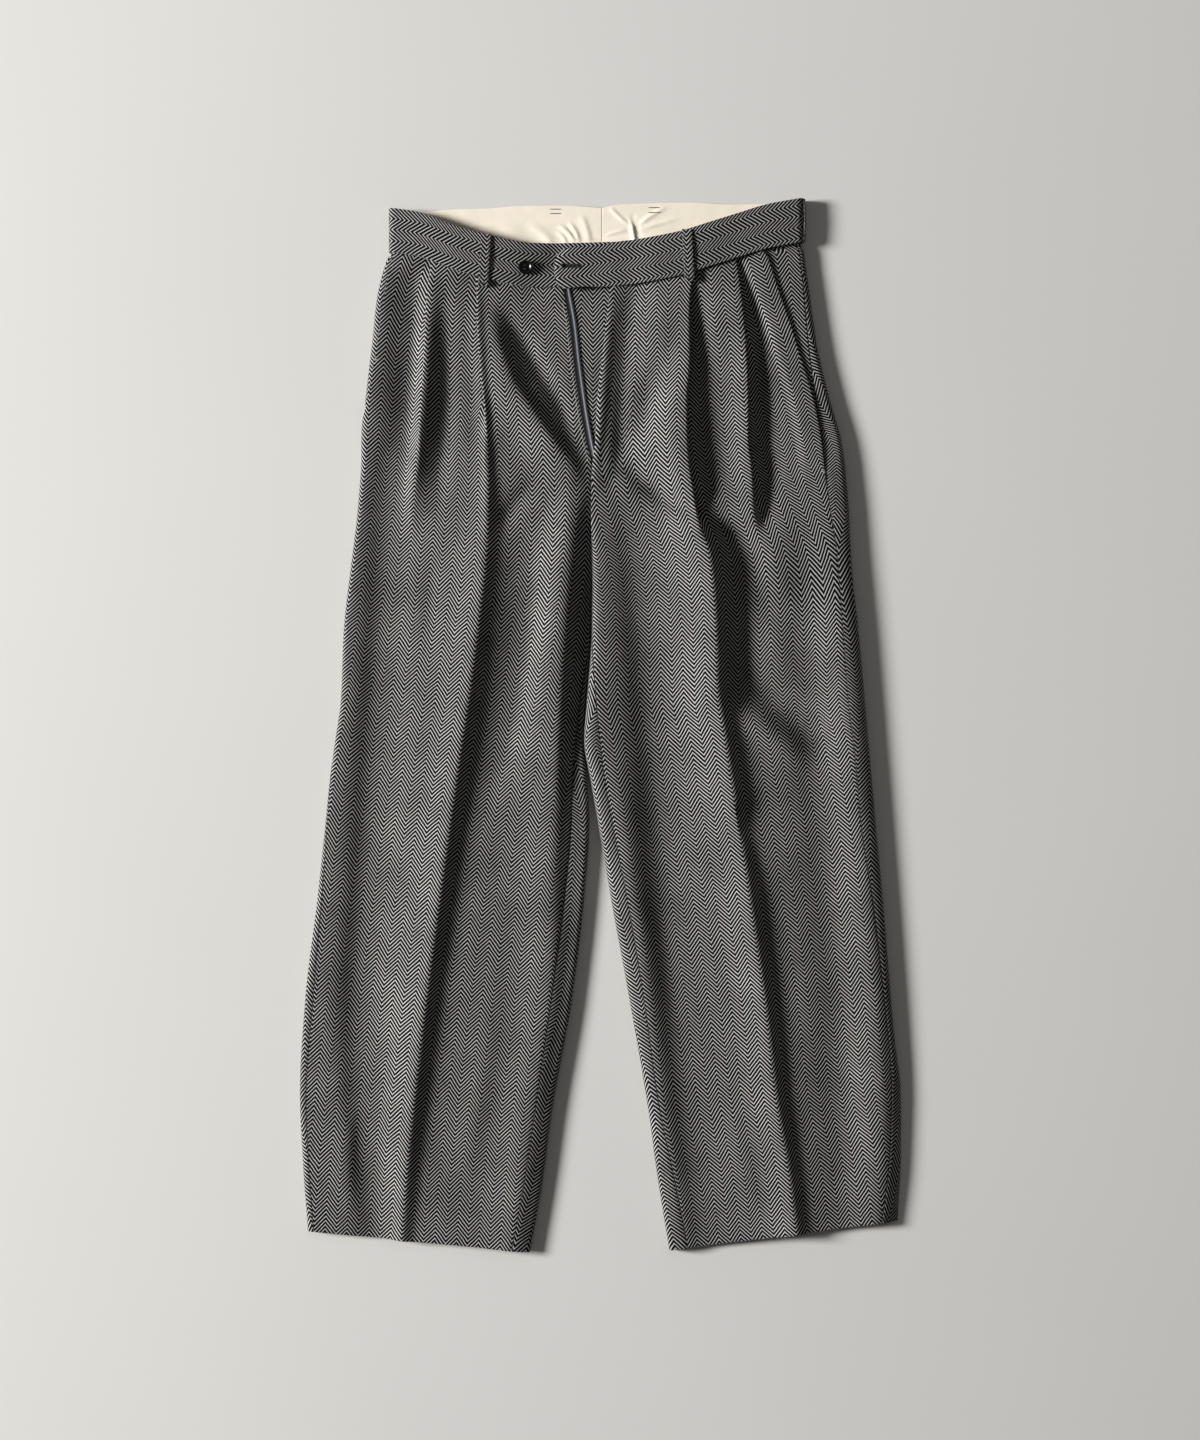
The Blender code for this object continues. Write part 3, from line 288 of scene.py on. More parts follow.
# The table's heights are drawn RELIEF_SIZE times as high. The folds fade in below the waistband and
# above the underside, and hollows fade in beside the fly, each from a start and over a ramp, down to
# a row a little below the fly's foot. A hollow stays above RELIEF_FLOOR
RELIEF_SIZE = 3.0
RELIEF_FADE = (62.0, 16.0)
RELIEF_RISE = (5.5, 3.5)
FLY_CLEAR = (12.0, 22.0)
FLY_GUARDED = FLY_FOOT + 10
RELIEF_FLOOR = 2.4

# Lengths down the trousers over which the slant of a crease and the lean of a fold are evened out
SLANT_WINDOW = 60.0
LEAN_SPAN = 12.0

# Cloth that each pleat takes in at the waist, as the slant of the stripes beyond it shows, the row
# where that has eased out, and how far beyond an open pleat the pattern settles
PLEAT_TAKES = {"right": (26.0, 22.0), "left": (26.0, 40.0)}
PLEAT_SPENT = 400.0
PLEAT_EASE = 1.8
PATTERN_EASE = 34.0

# The back and the outer fold tuck inside the waistband over these lengths below its seam
TUCK_IN = 3.3
TUCK_SIDE = 8.0
TUCK_BACK = 28.0

# The front lifts off the pocket facing along the mouth, and comes down below the facing's end
MOUTH_LIFT = {"right": 1.7, "left": 2.6}
LIFT_FADE = 60.0
MOUTH_REACH = {"right": 42.0, "left": 28.0}
MOUTH_RAMP = {"right": 20.0, "left": 10.0}
MOUTH_LEAST = 3.0
FACING_END = {"right": 205.0, "left": 242.0}
FACING_UNDER = 20.0

# Waistband: its height, the level of its back, its rise over the pleats, its side fold, and its top
# edge as down for each out
BAND_HEIGHT = 44.0
BAND_BACK = 2.7
BAND_RISE = 2.3
BAND_FOLD = {"right": 203.5, "left": 212.0}
TOP_EDGE_COLUMNS = ("out", "down")
TOP_EDGE = {
    "right": ((-41, 41.5), (16, 43), (59, 43.5), (74, 42), (106, 35), (135, 27), (158, 18), (177, 12),
              (203, 8)),
    "left": ((-39, 51), (-23, 49), (8, 46), (30, 42), (40, 41), (85, 33), (118, 23), (146, 14), (175, 5),
             (212, -2)),
}
BACK_TOP_EDGE = {
    "right": ((-10, 6.5), (30, 4), (74, 4.5), (105, 7), (140, 8), (177, 11), (203, 8)),
    "left": ((10, 6.5), (28, 3), (100, 1), (138, 3), (176, 2), (212, -2)),
}

# The ends that overlap: the underlap on the right, which lies lower, and on the left the tab with
# the buttonhole, which narrows to TAB_HEIGHT over a ramp, is rounded off by TAB_NIP of its height
# over TAB_ROUND, and lifts by TAB_LIFT inside a roll of TAB_ROLL along its edge. The matches move the
# pattern of a piece across and along
UNDERLAP_END = -40.0
UNDERLAP_DROP = 1.2
TAB_END = -38.0
TAB_HEIGHT = 40.0
TAB_TAPER = (-10.0, 40.0)
TAB_ROUND = 14.0
TAB_NIP = 0.42
TAB_LIFT = 1.4
TAB_ROLL = 4.5
TAB_SETTLE = 35.0
BACK_CENTRE = 10.0
BACK_MATCH = (4.0, 0.0)
BAND_MATCH = {"right": (0.0, 0.0), "left": (3.6, 1.9)}

# The waistband lies higher over the pleats, and its right end lies lower, under the other half
BAND_OVER_PLEATS = (-65.0, 30.0)
UNDERLAP_RAMP = (4.0, 22.0)

# The underlap sinks a little beside the tab: its reach towards the middle and towards the side,
# then down, out and height on the way
UNDERLAP_DIP = (30.0, 15.0, ((40, 30, -2.4), (50, 34, -3.2), (62, 37, -3.0), (71, 39, -1.4),
                             (78, 41, 0)))

# Drop of the hem against its row at the inner and the outer fold: out, down
HEM_SLANT = {"right": ((62, 13), (285, -8)), "left": ((79, 11), (297, -17))}

# Lining of the back of the waistband: it starts just below the top edge, ends short of the side folds
# and steps over the back's tucked edge. Its hollows sink by less than LINING_ROOM, and its creases
# fade in over LINING_FADES from its upper and its lower edge
LINING_OUT = {"right": 186.0, "left": 194.0}
LINING_DROP = 0.1
LINING_STEP = 30.0
LINING_RAMP = 6.0
LINING_LENGTH = 56.0
LINING_ROOM = 0.25
LINING_FADES = (4.0, 10.0)
LINING_GRID = (60, 170)

# Belt loops: each bulges between its sewn ends, and the front ones lean
LOOP_WIDTH = 10.0
LOOP_WALL = 1.3
LOOP_LENGTH = 52.0
LOOP_BULGE = 0.9
LOOP_INSET = 0.8
LOOP_LEAN = 3.0
LOOP_SEWN = 0.84
FRONT_LOOPS = {"right": 107.0, "left": 96.0}
BACK_LOOPS = {"right": 37.0, "left": 63.0}
SIDE_LOOP_UNDER = 178.0
LOOP_GRIDS = {"front": (27, 9), "under": (14, 7), "side": (23, 9)}

# Fly: the shield's two edges, and the zip tapes under the edges of the fronts
SHIELD_COLUMNS = ("down", "right_edge", "left_edge")
SHIELD = ((84, 30, -34), (100, 32, -33), (150, 30, -31), (200, 26, -27), (240, 20, -22), (268, 12, -15),
          (288, 8, -10))
SHIELD_Z = 9.0
TAPE_WIDTH = 14.0
TAPE_SHOWN = {"right": 7.0, "left": -1.5}
TAPE_Z = {"right": 10.3, "left": 12.0}
TAPE_TOP = {"right": 84.0, "left": 96.0}
TAPE_FOOT = 258.0
SHIELD_GRID = (52, 20)
TAPE_GRID = (60, 9)
FLY_POINTS = 60

# Waist button: how deep its dish is, how far its four holes are from the middle either way, and how
# high over the dish's floor its thread lies and how thick it is
BUTTON_DISH = 0.9
BUTTON_HOLE_OFF = 1.7
BUTTON_THREAD_UP = 0.35
BUTTON_THREAD = 1.1

# Buttonhole in the tab: a round eye at the end and a slit, the angle at which the eye runs into the
# slit, and the stitches round it: how many round the eye, their step along the slit, their length
# and the thread's thickness
EYE_OUT = -27.5
EYE_DOWN = 67.0
EYE_RADIUS = 1.7
SLIT_LENGTH = 17.0
SLIT_WIDTH = 1.0
EYE_OPEN = 0.35
EYE_STITCHES = 20
SLIT_STEP = 0.6
HOLE_STITCH = 1.5
HOLE_THREAD = 0.62

# Sewing. Each line follows (down, out) points on one half's top cloth. Sizes of a stitch: length,
# the step from one to the next, and the thread's thickness, of which STITCH_UP is the height of its
# middle over the cloth
SEAM_LINES = {
    "right": {
        "pocket_pick_stitches": ((62, 198), (76, 203.5), (92, 208), (112, 210), (135, 214), (158, 216.5)),
        "side_pick_stitches": ((60, 203), (90, 209), (120, 214), (160, 219), (205, 224)),
    },
    "left": {
        "fly_j_stitches": ((86, 51.5), (99, 51), (114, 50), (134, 48.6), (156, 44.5), (176, 44), (200, 42),
                           (228, 36), (252, 29), (268, 19), (277, 9), (281, 4)),
        "side_pick_stitches": ((64, 206), (92, 212), (120, 215), (156, 219), (189, 223.5), (225, 230),
                               (262, 234)),
    },
}
STITCH = {"fly_j_stitches": (2.6, 3.4, 0.45), "pocket_pick_stitches": (0.9, 4.2, 0.5),
          "side_pick_stitches": (0.8, 4.4, 0.5), "fly_edge_stitches": (1.9, 2.7, 0.55)}
STITCH_UP = 0.12
FLY_EDGE_INSET = 3.2
LOOP_EDGE_INSET = 1.6
LOOP_TACK_INSET = 3.0
TACKS = {
    # short bars of close thread over the cloth: half, down, out, length, slant
    "left_fly_tack": ("left", 253.5, 1.5, 5.0, 20.0),
    "left_pocket_tack": ("left", 272.0, 232.5, 6.0, 80.0),
    "right_pocket_tack": ("right", 160.0, 216.0, 6.0, 80.0),
}
TACK_THREADS = 7
TACK_THREAD = 0.65
TACK_HALF = 0.9
TACK_UP = 0.1
LINING_TACK_THREAD = 0.8
LINING_TACKS = (("right", (30, 43), (7.8, 12.2)), ("left", (56, 69), (6.3, 11.3)))

# Creases of the cream lining: half, its reach on either side, then down, out and height on the way
LINING_CREASES = {
    "right": (
        (0.7, 3.0, ((24.8, 30, 0), (24.6, 44, 0.3), (24.6, 90, 0.35), (25.0, 150, 0.3), (25.2, 170, 0))),
        (1.6, 3.0, ((23, 34, 0), (28, 27, 1.0), (33, 22, 1.2), (39, 18, 0.8), (43, 17, 0))),
        (1.8, 2.4, ((20, 24, 0), (26, 19, 0.8), (33, 15, 1.0), (41, 13, 0.5))),
        (1.4, 2.2, ((30, 36, 0), (34, 30, 0.7), (39, 27, 0.7), (44, 26, 0))),
        (2.6, 4.0, ((13, 12, 0), (20, 8, 0.6), (32, 4, 0.8), (44, 2, 0.4))),
        (5.0, 4.0, ((22, 66, 0), (30, 52, 0.7), (38, 44, 0.9), (46, 40, 0.4))),
        (9.0, 8.0, ((26, 96, 0), (32, 80, 0.7), (40, 72, 0.6), (46, 68, 0))),
    ),
    "left": (
        (2.6, 1.6, ((15, 39, 0), (22, 40, 0.9), (29, 41, 1.6), (38, 42.5, 1.6), (45, 44, 1.0))),
        (2.0, 1.8, ((18, 46, 0), (25, 44.5, -1.4), (34, 46.5, -2.0), (44, 48, -1.0))),
        (1.8, 2.4, ((24, 46, 0), (17, 55, 0.9), (10, 66, 0.8), (5, 76, 0))),
        (2.2, 2.2, ((28, 46, 0), (25, 58, 0.8), (21, 72, 0.7), (18, 88, 0))),
        (1.8, 1.6, ((33, 47, 0), (34, 58, 0.6), (33, 70, 0.5), (31, 82, 0))),
        (2.2, 1.6, ((24, 38, 0), (18, 30, 0.8), (10, 22, 0.7), (4, 16, 0))),
        (1.8, 1.8, ((28, 37, 0), (30, 28, 0.7), (33, 18, 0.6), (36, 12, 0))),
        (2.0, 2.0, ((12, 42, 0), (17, 41, -0.9), (21, 42, -1.0), (25, 42.5, 0))),
    ),
}

# The middle of the laid trousers, which the origin stands under: x, and down
MIDDLE = (8.94, 525.6)

# Cut of each panel, laid out flat with its crease straight, and of the fly shield: width and length in
# metres, and area. Then the waistband's mean height in metres, and how much wider the pocket facings
# are at their widest than on average
PANEL_CUT = {
    "right_front": ((0.27, 0.99), 0.245),
    "left_front": ((0.276, 0.99), 0.25),
    "right_back": ((0.301, 1.005), 0.262),
    "left_back": ((0.345, 1.017), 0.286),
    "fly_shield": ((0.066, 0.204), 0.0105),
}
BAND_MEAN = 0.043
FACING_WIDEST = 1.3

# Fineness of the cloth: rows begin inside the waistband, one every so many millimetres, and strips go
# across each stretch. The underside's outer stretches end FLOOR_MARGIN past the folds' arcs
TOP_ROW = 54.0
ROW_STEP = 4.0
BACK_STEP = 5.0
FRONT_STRIPS = {"inside": 36, "arc": 8, "between": 14, "side": 40}
BACK_STRIPS = {"side": 30, "floor": 24, "inside": 26}
FACING_STRIPS = 24
FLOOR_MARGIN = 30.0
EDGE_ROUND = 0.3

# Points in the paths that the strips are picked from, how far past the outer fold the front's path
# is followed, and points in the stretches of the waistband and its rows, finer round the buttonhole
TOP_POINTS = 40
FLOOR_POINTS = 60
INSIDE_POINTS = 120
ROLL_POINTS = 24
SIDE_POINTS = 90
CLIMB_POINTS = 20
PATH_POINTS = 400
SIDE_REACH = 40.0
BAND_POINTS = {"nose": 12, "front": 76, "fold": 19, "back": 50}
BAND_ROWS = {"right": 19, "left": 89}
HOLE_STEP = 0.5

# Stage, in metres: half the floor's width, each light's place, width and share of the key's power,
# the longer side of the view at the level of the cloth, the camera's place and how far it sees
FLOOR_REACH = 9.0
LIGHTS = {"key": ((-6.4, 0.7, 3.05), 1.9, 1.0), "far fill": ((1.8, 1.6, 3.0), 2.4, 0.008)}
VIEW_SIDE = 1.44
CLOTH_LEVEL = 0.012
CAMERA_OFF = (-0.00094, 0.0056)
VIEW_END = 40.0

# Sizes of the patterns, in millimetres. Wool: the stretch over which pressing pulls it out of line and
# by how much across and along, a tuft of fibres, a yarn's width and how long it keeps its shade, a
# patch of nap, and the yarns along an edge. Then the lining's slubs and threads, the tape's ribs and
# cords, and the spots of the button, the zip's metal, the thread and the floor
PULL_SIZE = 28.57
PULL = (1.4, 2.4)
TUFT_SIZE = 0.7692
YARN_SIZE = (0.625, 20.0)
NAP_SIZE = 50.0
EDGE_YARN = 1.923
SLUB_SIZE = 12.5
LINING_THREAD = 0.8976
TAPE_RIB = 1.2083
TAPE_CORD = 2.992
CLOUD_SIZE = 3.846
GRAIN_SIZE = 1.111
TWIST_SIZE = 0.4167
MOTTLE_SIZE = 333.3

SIGN = {"right": -1, "left": 1}


# Sizes and colours that a user would change

class TrousersCloth(bpy.types.PropertyGroup):
    """Wool cloth of the trousers."""

    stripe: FloatProperty(name="Stripe", description="Width of one herringbone stripe",
                          default=0.011, min=0.003, max=0.04, unit="LENGTH")
    pitch: FloatProperty(name="Twill pitch", default=0.00435, min=0.001, max=0.02, unit="LENGTH",
                         description="Length of one dark and one light twill line along the warp")
    slope: FloatProperty(name="Twill slope", description="Slope of the twill lines across a stripe",
                         default=math.radians(49.8), subtype="ANGLE", unit="ROTATION")
    dark: StringProperty(name="Dark yarn", description="sRGB hex colour of the charcoal yarn",
                         default="#080808")
    light: StringProperty(name="Light yarn", description="sRGB hex colour of the off-white yarn",
                          default="#b3b2b0")


class TrousersTrim(bpy.types.PropertyGroup):
    """Lining, zip and button."""

    cream: StringProperty(name="Lining", description="sRGB hex colour of the cotton lining",
                          default="#ece3d2")
    tape: StringProperty(name="Zip tape", description="sRGB hex colour of the zip's woven tape",
                         default="#83858a")
    thread_dark: StringProperty(name="Dark thread", description="sRGB hex colour of the charcoal thread",
                                default="#1b1a1a")
    thread_light: StringProperty(name="Light thread", description="sRGB hex colour of the pale grey thread",
                                 default="#a9a69f")
    horn: StringProperty(name="Button", description="sRGB hex colour of the polished button",
                         default="#0a0a0b")


class TrousersStage(bpy.types.PropertyGroup):
    """Floor, light and camera."""

    floor: StringProperty(name="Floor", description="sRGB hex colour of the pale floor", default="#cfcdc9")
    key: FloatProperty(name="Key light", description="Power of the large soft light", default=870.0,
                       min=0.0, unit="POWER")
    fill: FloatProperty(name="Fill", description="Strength of the light from all round", default=0.125,
                        min=0.0, max=4.0)
    height: FloatProperty(name="Camera height", description="Height of the camera over the floor",
                          default=2.6, min=0.5, max=10.0, unit="LENGTH")


class TrousersSettings(bpy.types.PropertyGroup):
    """Everything that shapes the look of the trousers."""

    cloth: PointerProperty(type=TrousersCloth, name="Cloth", description="Wool cloth")
    trim: PointerProperty(type=TrousersTrim, name="Trim", description="Lining, zip and button")
    stage: PointerProperty(type=TrousersStage, name="Stage", description="Floor, light and camera")


def settings():
    """The sizes and colours of the trousers in this scene."""
    return bpy.context.scene.trousers


# Curves and sections of the laid cloth

def smooth(t):
    """0 below 0, 1 above 1 and an S between."""
    t = np.clip(t, 0.0, 1.0)
    return t * t * (3 - 2 * t)


def curve(x, xs, ys):
    """A smooth curve through the points (xs, ys), level past its ends."""
    xs, ys = np.asarray(xs, float), np.asarray(ys, float)
    x = np.clip(x, xs[0], xs[-1])
    slopes = np.diff(ys) / np.diff(xs)
    before, after = np.r_[slopes[:1], slopes], np.r_[slopes, slopes[-1:]]
    tangents = np.where(before * after > 0, 2 * before * after / (before + after + 1e-12), 0.0)
    i = np.clip(np.searchsorted(xs, x, side="right") - 1, 0, len(xs) - 2)
    span = xs[i + 1] - xs[i]
    t = (x - xs[i]) / span
    a, b = (1 + 2 * t) * (1 - t) ** 2, t * t * (3 - 2 * t)
    c, d = t * (1 - t) ** 2, t * t * (t - 1)
    return a * ys[i] + b * ys[i + 1] + span * (c * tangents[i] + d * tangents[i + 1])


def column(table, names, name, x):
    """One named column of a table, read at x in its first column."""
    values = np.array(table, float)
    return curve(x, values[:, 0], values[:, names.index(name)])


def plan(half, name, row):
    """Out of one landmark of the plan at a row."""
    return float(column(PLAN[half], PLAN_COLUMNS, name, row))


def height(half, name, row):
    """One of a half's heights at a row."""
    return float(column(HEIGHTS[half], HEIGHT_COLUMNS, name, row))


def pairs(first, second):
    """Two arrays, or an array and a number, side by side as pairs."""
    return np.stack(np.broadcast_arrays(first, second), axis=-1)


def lengths(points):
    """Distance of each point along a path."""
    return np.r_[0, np.cumsum(np.sqrt((np.diff(points, axis=0) ** 2).sum(axis=1)))]


def top_edge(half, out):
    """Down of the waistband's top edge on the front."""
    return column(TOP_EDGE[half], TOP_EDGE_COLUMNS, "down", out)


def back_edge(half, out):
    """Down of the waistband's top edge on the back."""
    return column(BACK_TOP_EDGE[half], TOP_EDGE_COLUMNS, "down", out)


def down_at(half, out, row, edge=top_edge):
    """Real down of a row at each out: it follows the waist seam above and the hem below."""
    waist = (edge(half, out) + BAND_HEIGHT - WAIST) * (1 - smooth((row - WAIST) / (FADE_END - WAIST)))
    (out_a, drop_a), (out_b, drop_b) = HEM_SLANT[half]
    hem = drop_a + (drop_b - drop_a) * (out - out_a) / (out_b - out_a)
    return row + waist + hem * smooth((row - HEM_FADE) / (HEM - HEM_FADE))


def floor_at(row):
    """Height of the cloth on the underside: it rises to tuck inside the waistband."""
    lift = BAND_BACK + BAND_WALL / 2 + SEAM
    return FLOOR + lift * (1 - smooth((row - WAIST) / TUCK_BACK))


def outer_at(half, row):
    """Outer fold of the cloth, narrower where it tucks inside the waistband's side fold."""
    return plan(half, "outer", row) - TUCK_IN * (1 - smooth((row - WAIST) / TUCK_SIDE))


class Section:
    """The section of one half at one row: its folds, heights and pleats."""

    def __init__(self, half, row):
        self.half, self.row = half, row
        self.floor = floor_at(row)
        self.outer = outer_at(half, row) - WALL / 2
        self.inner = plan(half, "inner", row) + WALL / 2
        self.centre = plan(half, "centre", row)
        self.edge_in, self.edge_out = height(half, "edge_in", row), height(half, "edge_out", row)
        self.inner_radius = (self.edge_in - self.floor) / 2
        self.outer_radius = (self.edge_out - self.floor) / 2
        self.crease = plan(half, "crease", row)
        self.peek = float(column(PEEK[half], PEEK_COLUMNS, "peek", row))
        self.pleats = [self.pleat(**dict(zip(PLEAT_COLUMNS, values))) for values in PLEATS[half]]

    def pleat(self, line, depth, band, full, opens, flat):
        """The Z of one pleat: its turn, arc and mid layer, how far it is pressed down while it
        opens, its step in height, and where it starts and ends."""
        row = self.row
        radius = band + (full - band) * smooth((row - WAIST) / PLEAT_SWELL)
        turn = math.pi * (1 - float(smooth((row - opens) / (flat - opens))))
        layer = PLEAT_LEAST + depth * (1 - float(smooth((row - WAIST) / (opens - WAIST))))
        turn = max(turn, LEAST_TURN)
        shut = turn / math.pi
        bend = radius / shut
        rise = 2 * bend * (1 - math.cos(turn)) + layer * math.sin(turn)
        press = 4 * radius / max(rise, 4 * radius)
        before = radius * shut + (math.pi * radius + layer / 2) * (1 - shut)
        start = plan(self.half, line, row) - before
        across = 2 * bend * math.sin(turn) + layer * math.cos(turn)
        fold = math.pi / 2 * radius * shut + (math.pi * radius + layer / 2) * (1 - shut)
        return {"turn": turn, "bend": bend, "layer": layer, "press": press, "step": rise * press,
                "start": start, "end": start + across, "edge": start + radius, "fold": fold,
                "open": float(smooth((row - opens) / (flat - opens)))}

    def base(self, out):
        """Height of the top cloth before its pleats."""
        inside, outside = self.inner + self.inner_radius, self.outer - self.outer_radius
        places = (inside, (inside + self.crease) / 2, self.crease, (self.crease + outside) / 2, outside)
        heights = [height(self.half, name, self.row) for name in HEIGHT_COLUMNS[1:6]]
        ridge = height(self.half, "ridge", self.row)
        away = np.sqrt((out - self.crease) ** 2 + RIDGE_ROUND ** 2) - RIDGE_ROUND
        fade = smooth((out - inside) / BASE_FADE) * smooth((outside - out) / BASE_FADE)
        z = curve(out, places, heights) + ridge * np.exp(-away / RIDGE_WIDTH)
        return z + fade * self.folds(out)

    def folds(self, out):
        """The soft folds that cross this row."""
        total = 0.0
        for values in FOLDS[self.half]:
            fold = dict(zip(FOLD_COLUMNS, values))
            slope = (fold["out_b"] - fold["out_a"]) / (fold["down_b"] - fold["down_a"])
            line = fold["out_a"] + slope * (self.row - fold["down_a"])
            away = (out - line) / math.hypot(1, slope) / fold["width"]
            t = (self.row - fold["down_a"]) / (fold["down_b"] - fold["down_a"])
            ends = smooth(4 * t + 0.5) * smooth(4 * (1 - t) + 0.5)
            total = total + fold["height"] * np.exp(-away ** 2) * ends
        return total

    def swell(self, out, passed=None, besides=None):
        """The top cloth lies half a step up before each pleat and half a step down after it.
        "passed" is how many pleats the cloth has been through; without it, the place tells."""
        total = 0.0
        for i, pleat in enumerate(self.pleats):
            if pleat is besides:
                continue
            before = smooth(1 - (pleat["start"] - pleat["layer"] - PLEAT_CLEAR - out) / RAMP_IN)
            after = smooth(1 - (out - pleat["edge"] - PLEAT_CLEAR) / RAMP_OUT)
            ahead = out < pleat["start"] if passed is None else i >= passed
            total = total + np.where(ahead, before, -after) * pleat["step"] / 2
        return total

    def ring(self, steps=32):
        """Loop of this half from its crease outward, round the outer fold, along the floor and
        round the inner fold to the crease again: its points, the distance of each along it, and
        the distances at which it is outermost and innermost. Both folds are half circles, and the
        peek draws the lower half of the outer one out."""
        top_out = np.linspace(self.crease, self.outer - self.outer_radius, TOP_POINTS)
        angles = np.linspace(0, math.pi, steps)[1:]
        lean = self.peek * (1 - np.cos(angles)) / 2
        arc_out = pairs(self.outer - self.outer_radius * (1 - np.sin(angles)) + lean,
                        self.floor + self.outer_radius * (1 + np.cos(angles)))
        floor_out = np.linspace(arc_out[-1, 0], self.inner + self.inner_radius, FLOOR_POINTS)[1:]
        arc_in = pairs(self.inner + self.inner_radius * (1 - np.sin(angles)),
                       self.floor + self.inner_radius * (1 - np.cos(angles)))
        top_in = np.linspace(self.inner + self.inner_radius, self.crease, TOP_POINTS)[1:]
        points = np.concatenate([pairs(top_out, self.base(top_out) + self.swell(top_out)), arc_out,
                                 pairs(floor_out, self.floor), arc_in,
                                 pairs(top_in, self.base(top_in))])
        length = lengths(points)
        widest = length[TOP_POINTS - 1] + self.outer_radius * math.pi / 2
        start = TOP_POINTS + len(angles) + len(floor_out)
        nearest = np.interp(math.pi / 2, angles, length[start:start + len(angles)])
        return points, length, widest, nearest


def along_fold(inset, radius):
    """Distance round a fold from its outermost point to the place that lies inset from it."""
    size = abs(inset)
    if size >= radius:
        travel = radius * math.pi / 2 + size - radius
    else:
        travel = radius * math.acos(1 - size / radius)
    return math.copysign(travel, inset)


def spread(points, length, start, end, strips, even=12.0, turn=30.0):
    """Points between two distances along a path, closer together where it bends: a step weighs as
    much as "even" millimetres run, or as it turns by "turn" degrees."""
    places = np.linspace(start, end, PATH_POINTS)
    path = np.stack([np.interp(places, length, points[:, i]) for i in (0, 1)], axis=1)
    steps = np.diff(path, axis=0)
    heading = np.unwrap(np.arctan2(steps[:, 1], steps[:, 0]))
    bends = np.abs(np.r_[0, np.diff(heading)]) / math.radians(turn)
    weight = np.r_[0, np.cumsum(np.hypot(*steps.T) / even + bends)]
    picks = np.interp(np.linspace(0, weight[-1], strips + 1), weight, places)
    return np.stack([np.interp(picks, length, points[:, i]) for i in (0, 1)], axis=1)


def front_roll(section):
    """How far the front's inner edge rolls down, in radians."""
    if section.row < CROTCH:
        return math.pi / 2 * float(smooth((section.row - FLY_FOOT) / (CROTCH - FLY_FOOT))) ** 2
    inset = max(section.centre - section.inner, 0.0)
    if inset >= section.inner_radius:
        return 0.0
    return math.pi / 2 - math.acos(1 - inset / section.inner_radius)


def outer_lift(section, path, length, widest):
    """Moves the path of the front out, off the pocket facing, towards its outer edge."""
    fade = float(smooth((section.row - FACING_END[section.half]) / LIFT_FADE))
    lift = MOUTH_LIFT[section.half] * (1 - fade)
    mouth = plan(section.half, "mouth", section.row)
    edge = widest - along_fold(mouth, section.outer_radius)
    reach = MOUTH_REACH[section.half] + along_fold(max(mouth, MOUTH_LEAST), section.outer_radius)
    steps = np.gradient(path, axis=0)
    normals = pairs(-steps[:, 1], steps[:, 0]) / np.hypot(*steps.T)[:, None]
    share = smooth((length - widest + reach) / MOUTH_RAMP[section.half])
    return path + normals * (lift * share)[:, None], edge - GAP


def front_section(half, row):
    """Points across the front at one row, from its inner edge to its outer edge, how far across
    the pattern each lies from the pressed crease, and how far the pattern is moved along the warp
    beyond the pleats, which turn it."""
    section = Section(half, row)
    first, second = section.pleats
    roll = front_roll(section)
    radius = section.inner_radius
    flat_start = section.centre + radius * math.sin(roll)
    outs = np.linspace(flat_start, first["start"], INSIDE_POINTS)
    inside = pairs(outs, section.base(outs) + section.swell(outs, 0))
    if roll > 1e-3:
        angles = np.linspace(roll, 0, ROLL_POINTS)[:-1]
        rolled = pairs(flat_start - radius * np.sin(angles),
                       inside[0, 1] - radius * (1 - np.cos(angles)))
        inside = np.concatenate([rolled, inside])
    length = lengths(inside)
    points = [spread(inside, length, 0, length[-1], FRONT_STRIPS["inside"])]
    points.append(fold_points(section, first))
    outs = np.linspace(first["end"], second["start"], FRONT_STRIPS["between"] + 1)
    points.append(pairs(outs, section.base(outs) + section.swell(outs, 1))[1:])
    points.append(fold_points(section, second))
    points.append(side_points(section, second)[1:])
    points = np.concatenate(points)
    along = lengths(points)
    across = along - length[-1] - first["fold"]
    shift = np.zeros(len(points))
    arc = FRONT_STRIPS["arc"]
    starts = (FRONT_STRIPS["inside"], FRONT_STRIPS["inside"] + 2 * arc + 1 + FRONT_STRIPS["between"])
    for pleat, begin, takes, change in zip(section.pleats, starts, *pleat_takes(half, row)):
        fold, end = along[begin + arc // 2], along[begin + 2 * arc + 1]
        share = np.clip((along - fold) / (end + PATTERN_EASE * pleat["open"] - fold), 0.0, 1.0)
        last = begin + 2 * arc + 1
        hides = end - along[begin] - (points[last, 0] - points[begin, 0])
        across = across - (hides - takes) * share
        shift = shift - change * np.maximum(points[:, 0] - pleat["edge"], 0.0)
    return points, across, shift


def pleat_takes(half, row):
    """Cloth that each pleat takes in at this row, and how fast that changes down the rows: it eases
    out as a power of the way left to PLEAT_SPENT."""
    left = 1 - np.clip((row - WAIST) / (PLEAT_SPENT - WAIST), 0.0, 1.0)
    takes = np.array(PLEAT_TAKES[half])
    return takes * left ** PLEAT_EASE, -takes * PLEAT_EASE * left ** (PLEAT_EASE - 1) / (PLEAT_SPENT - WAIST)


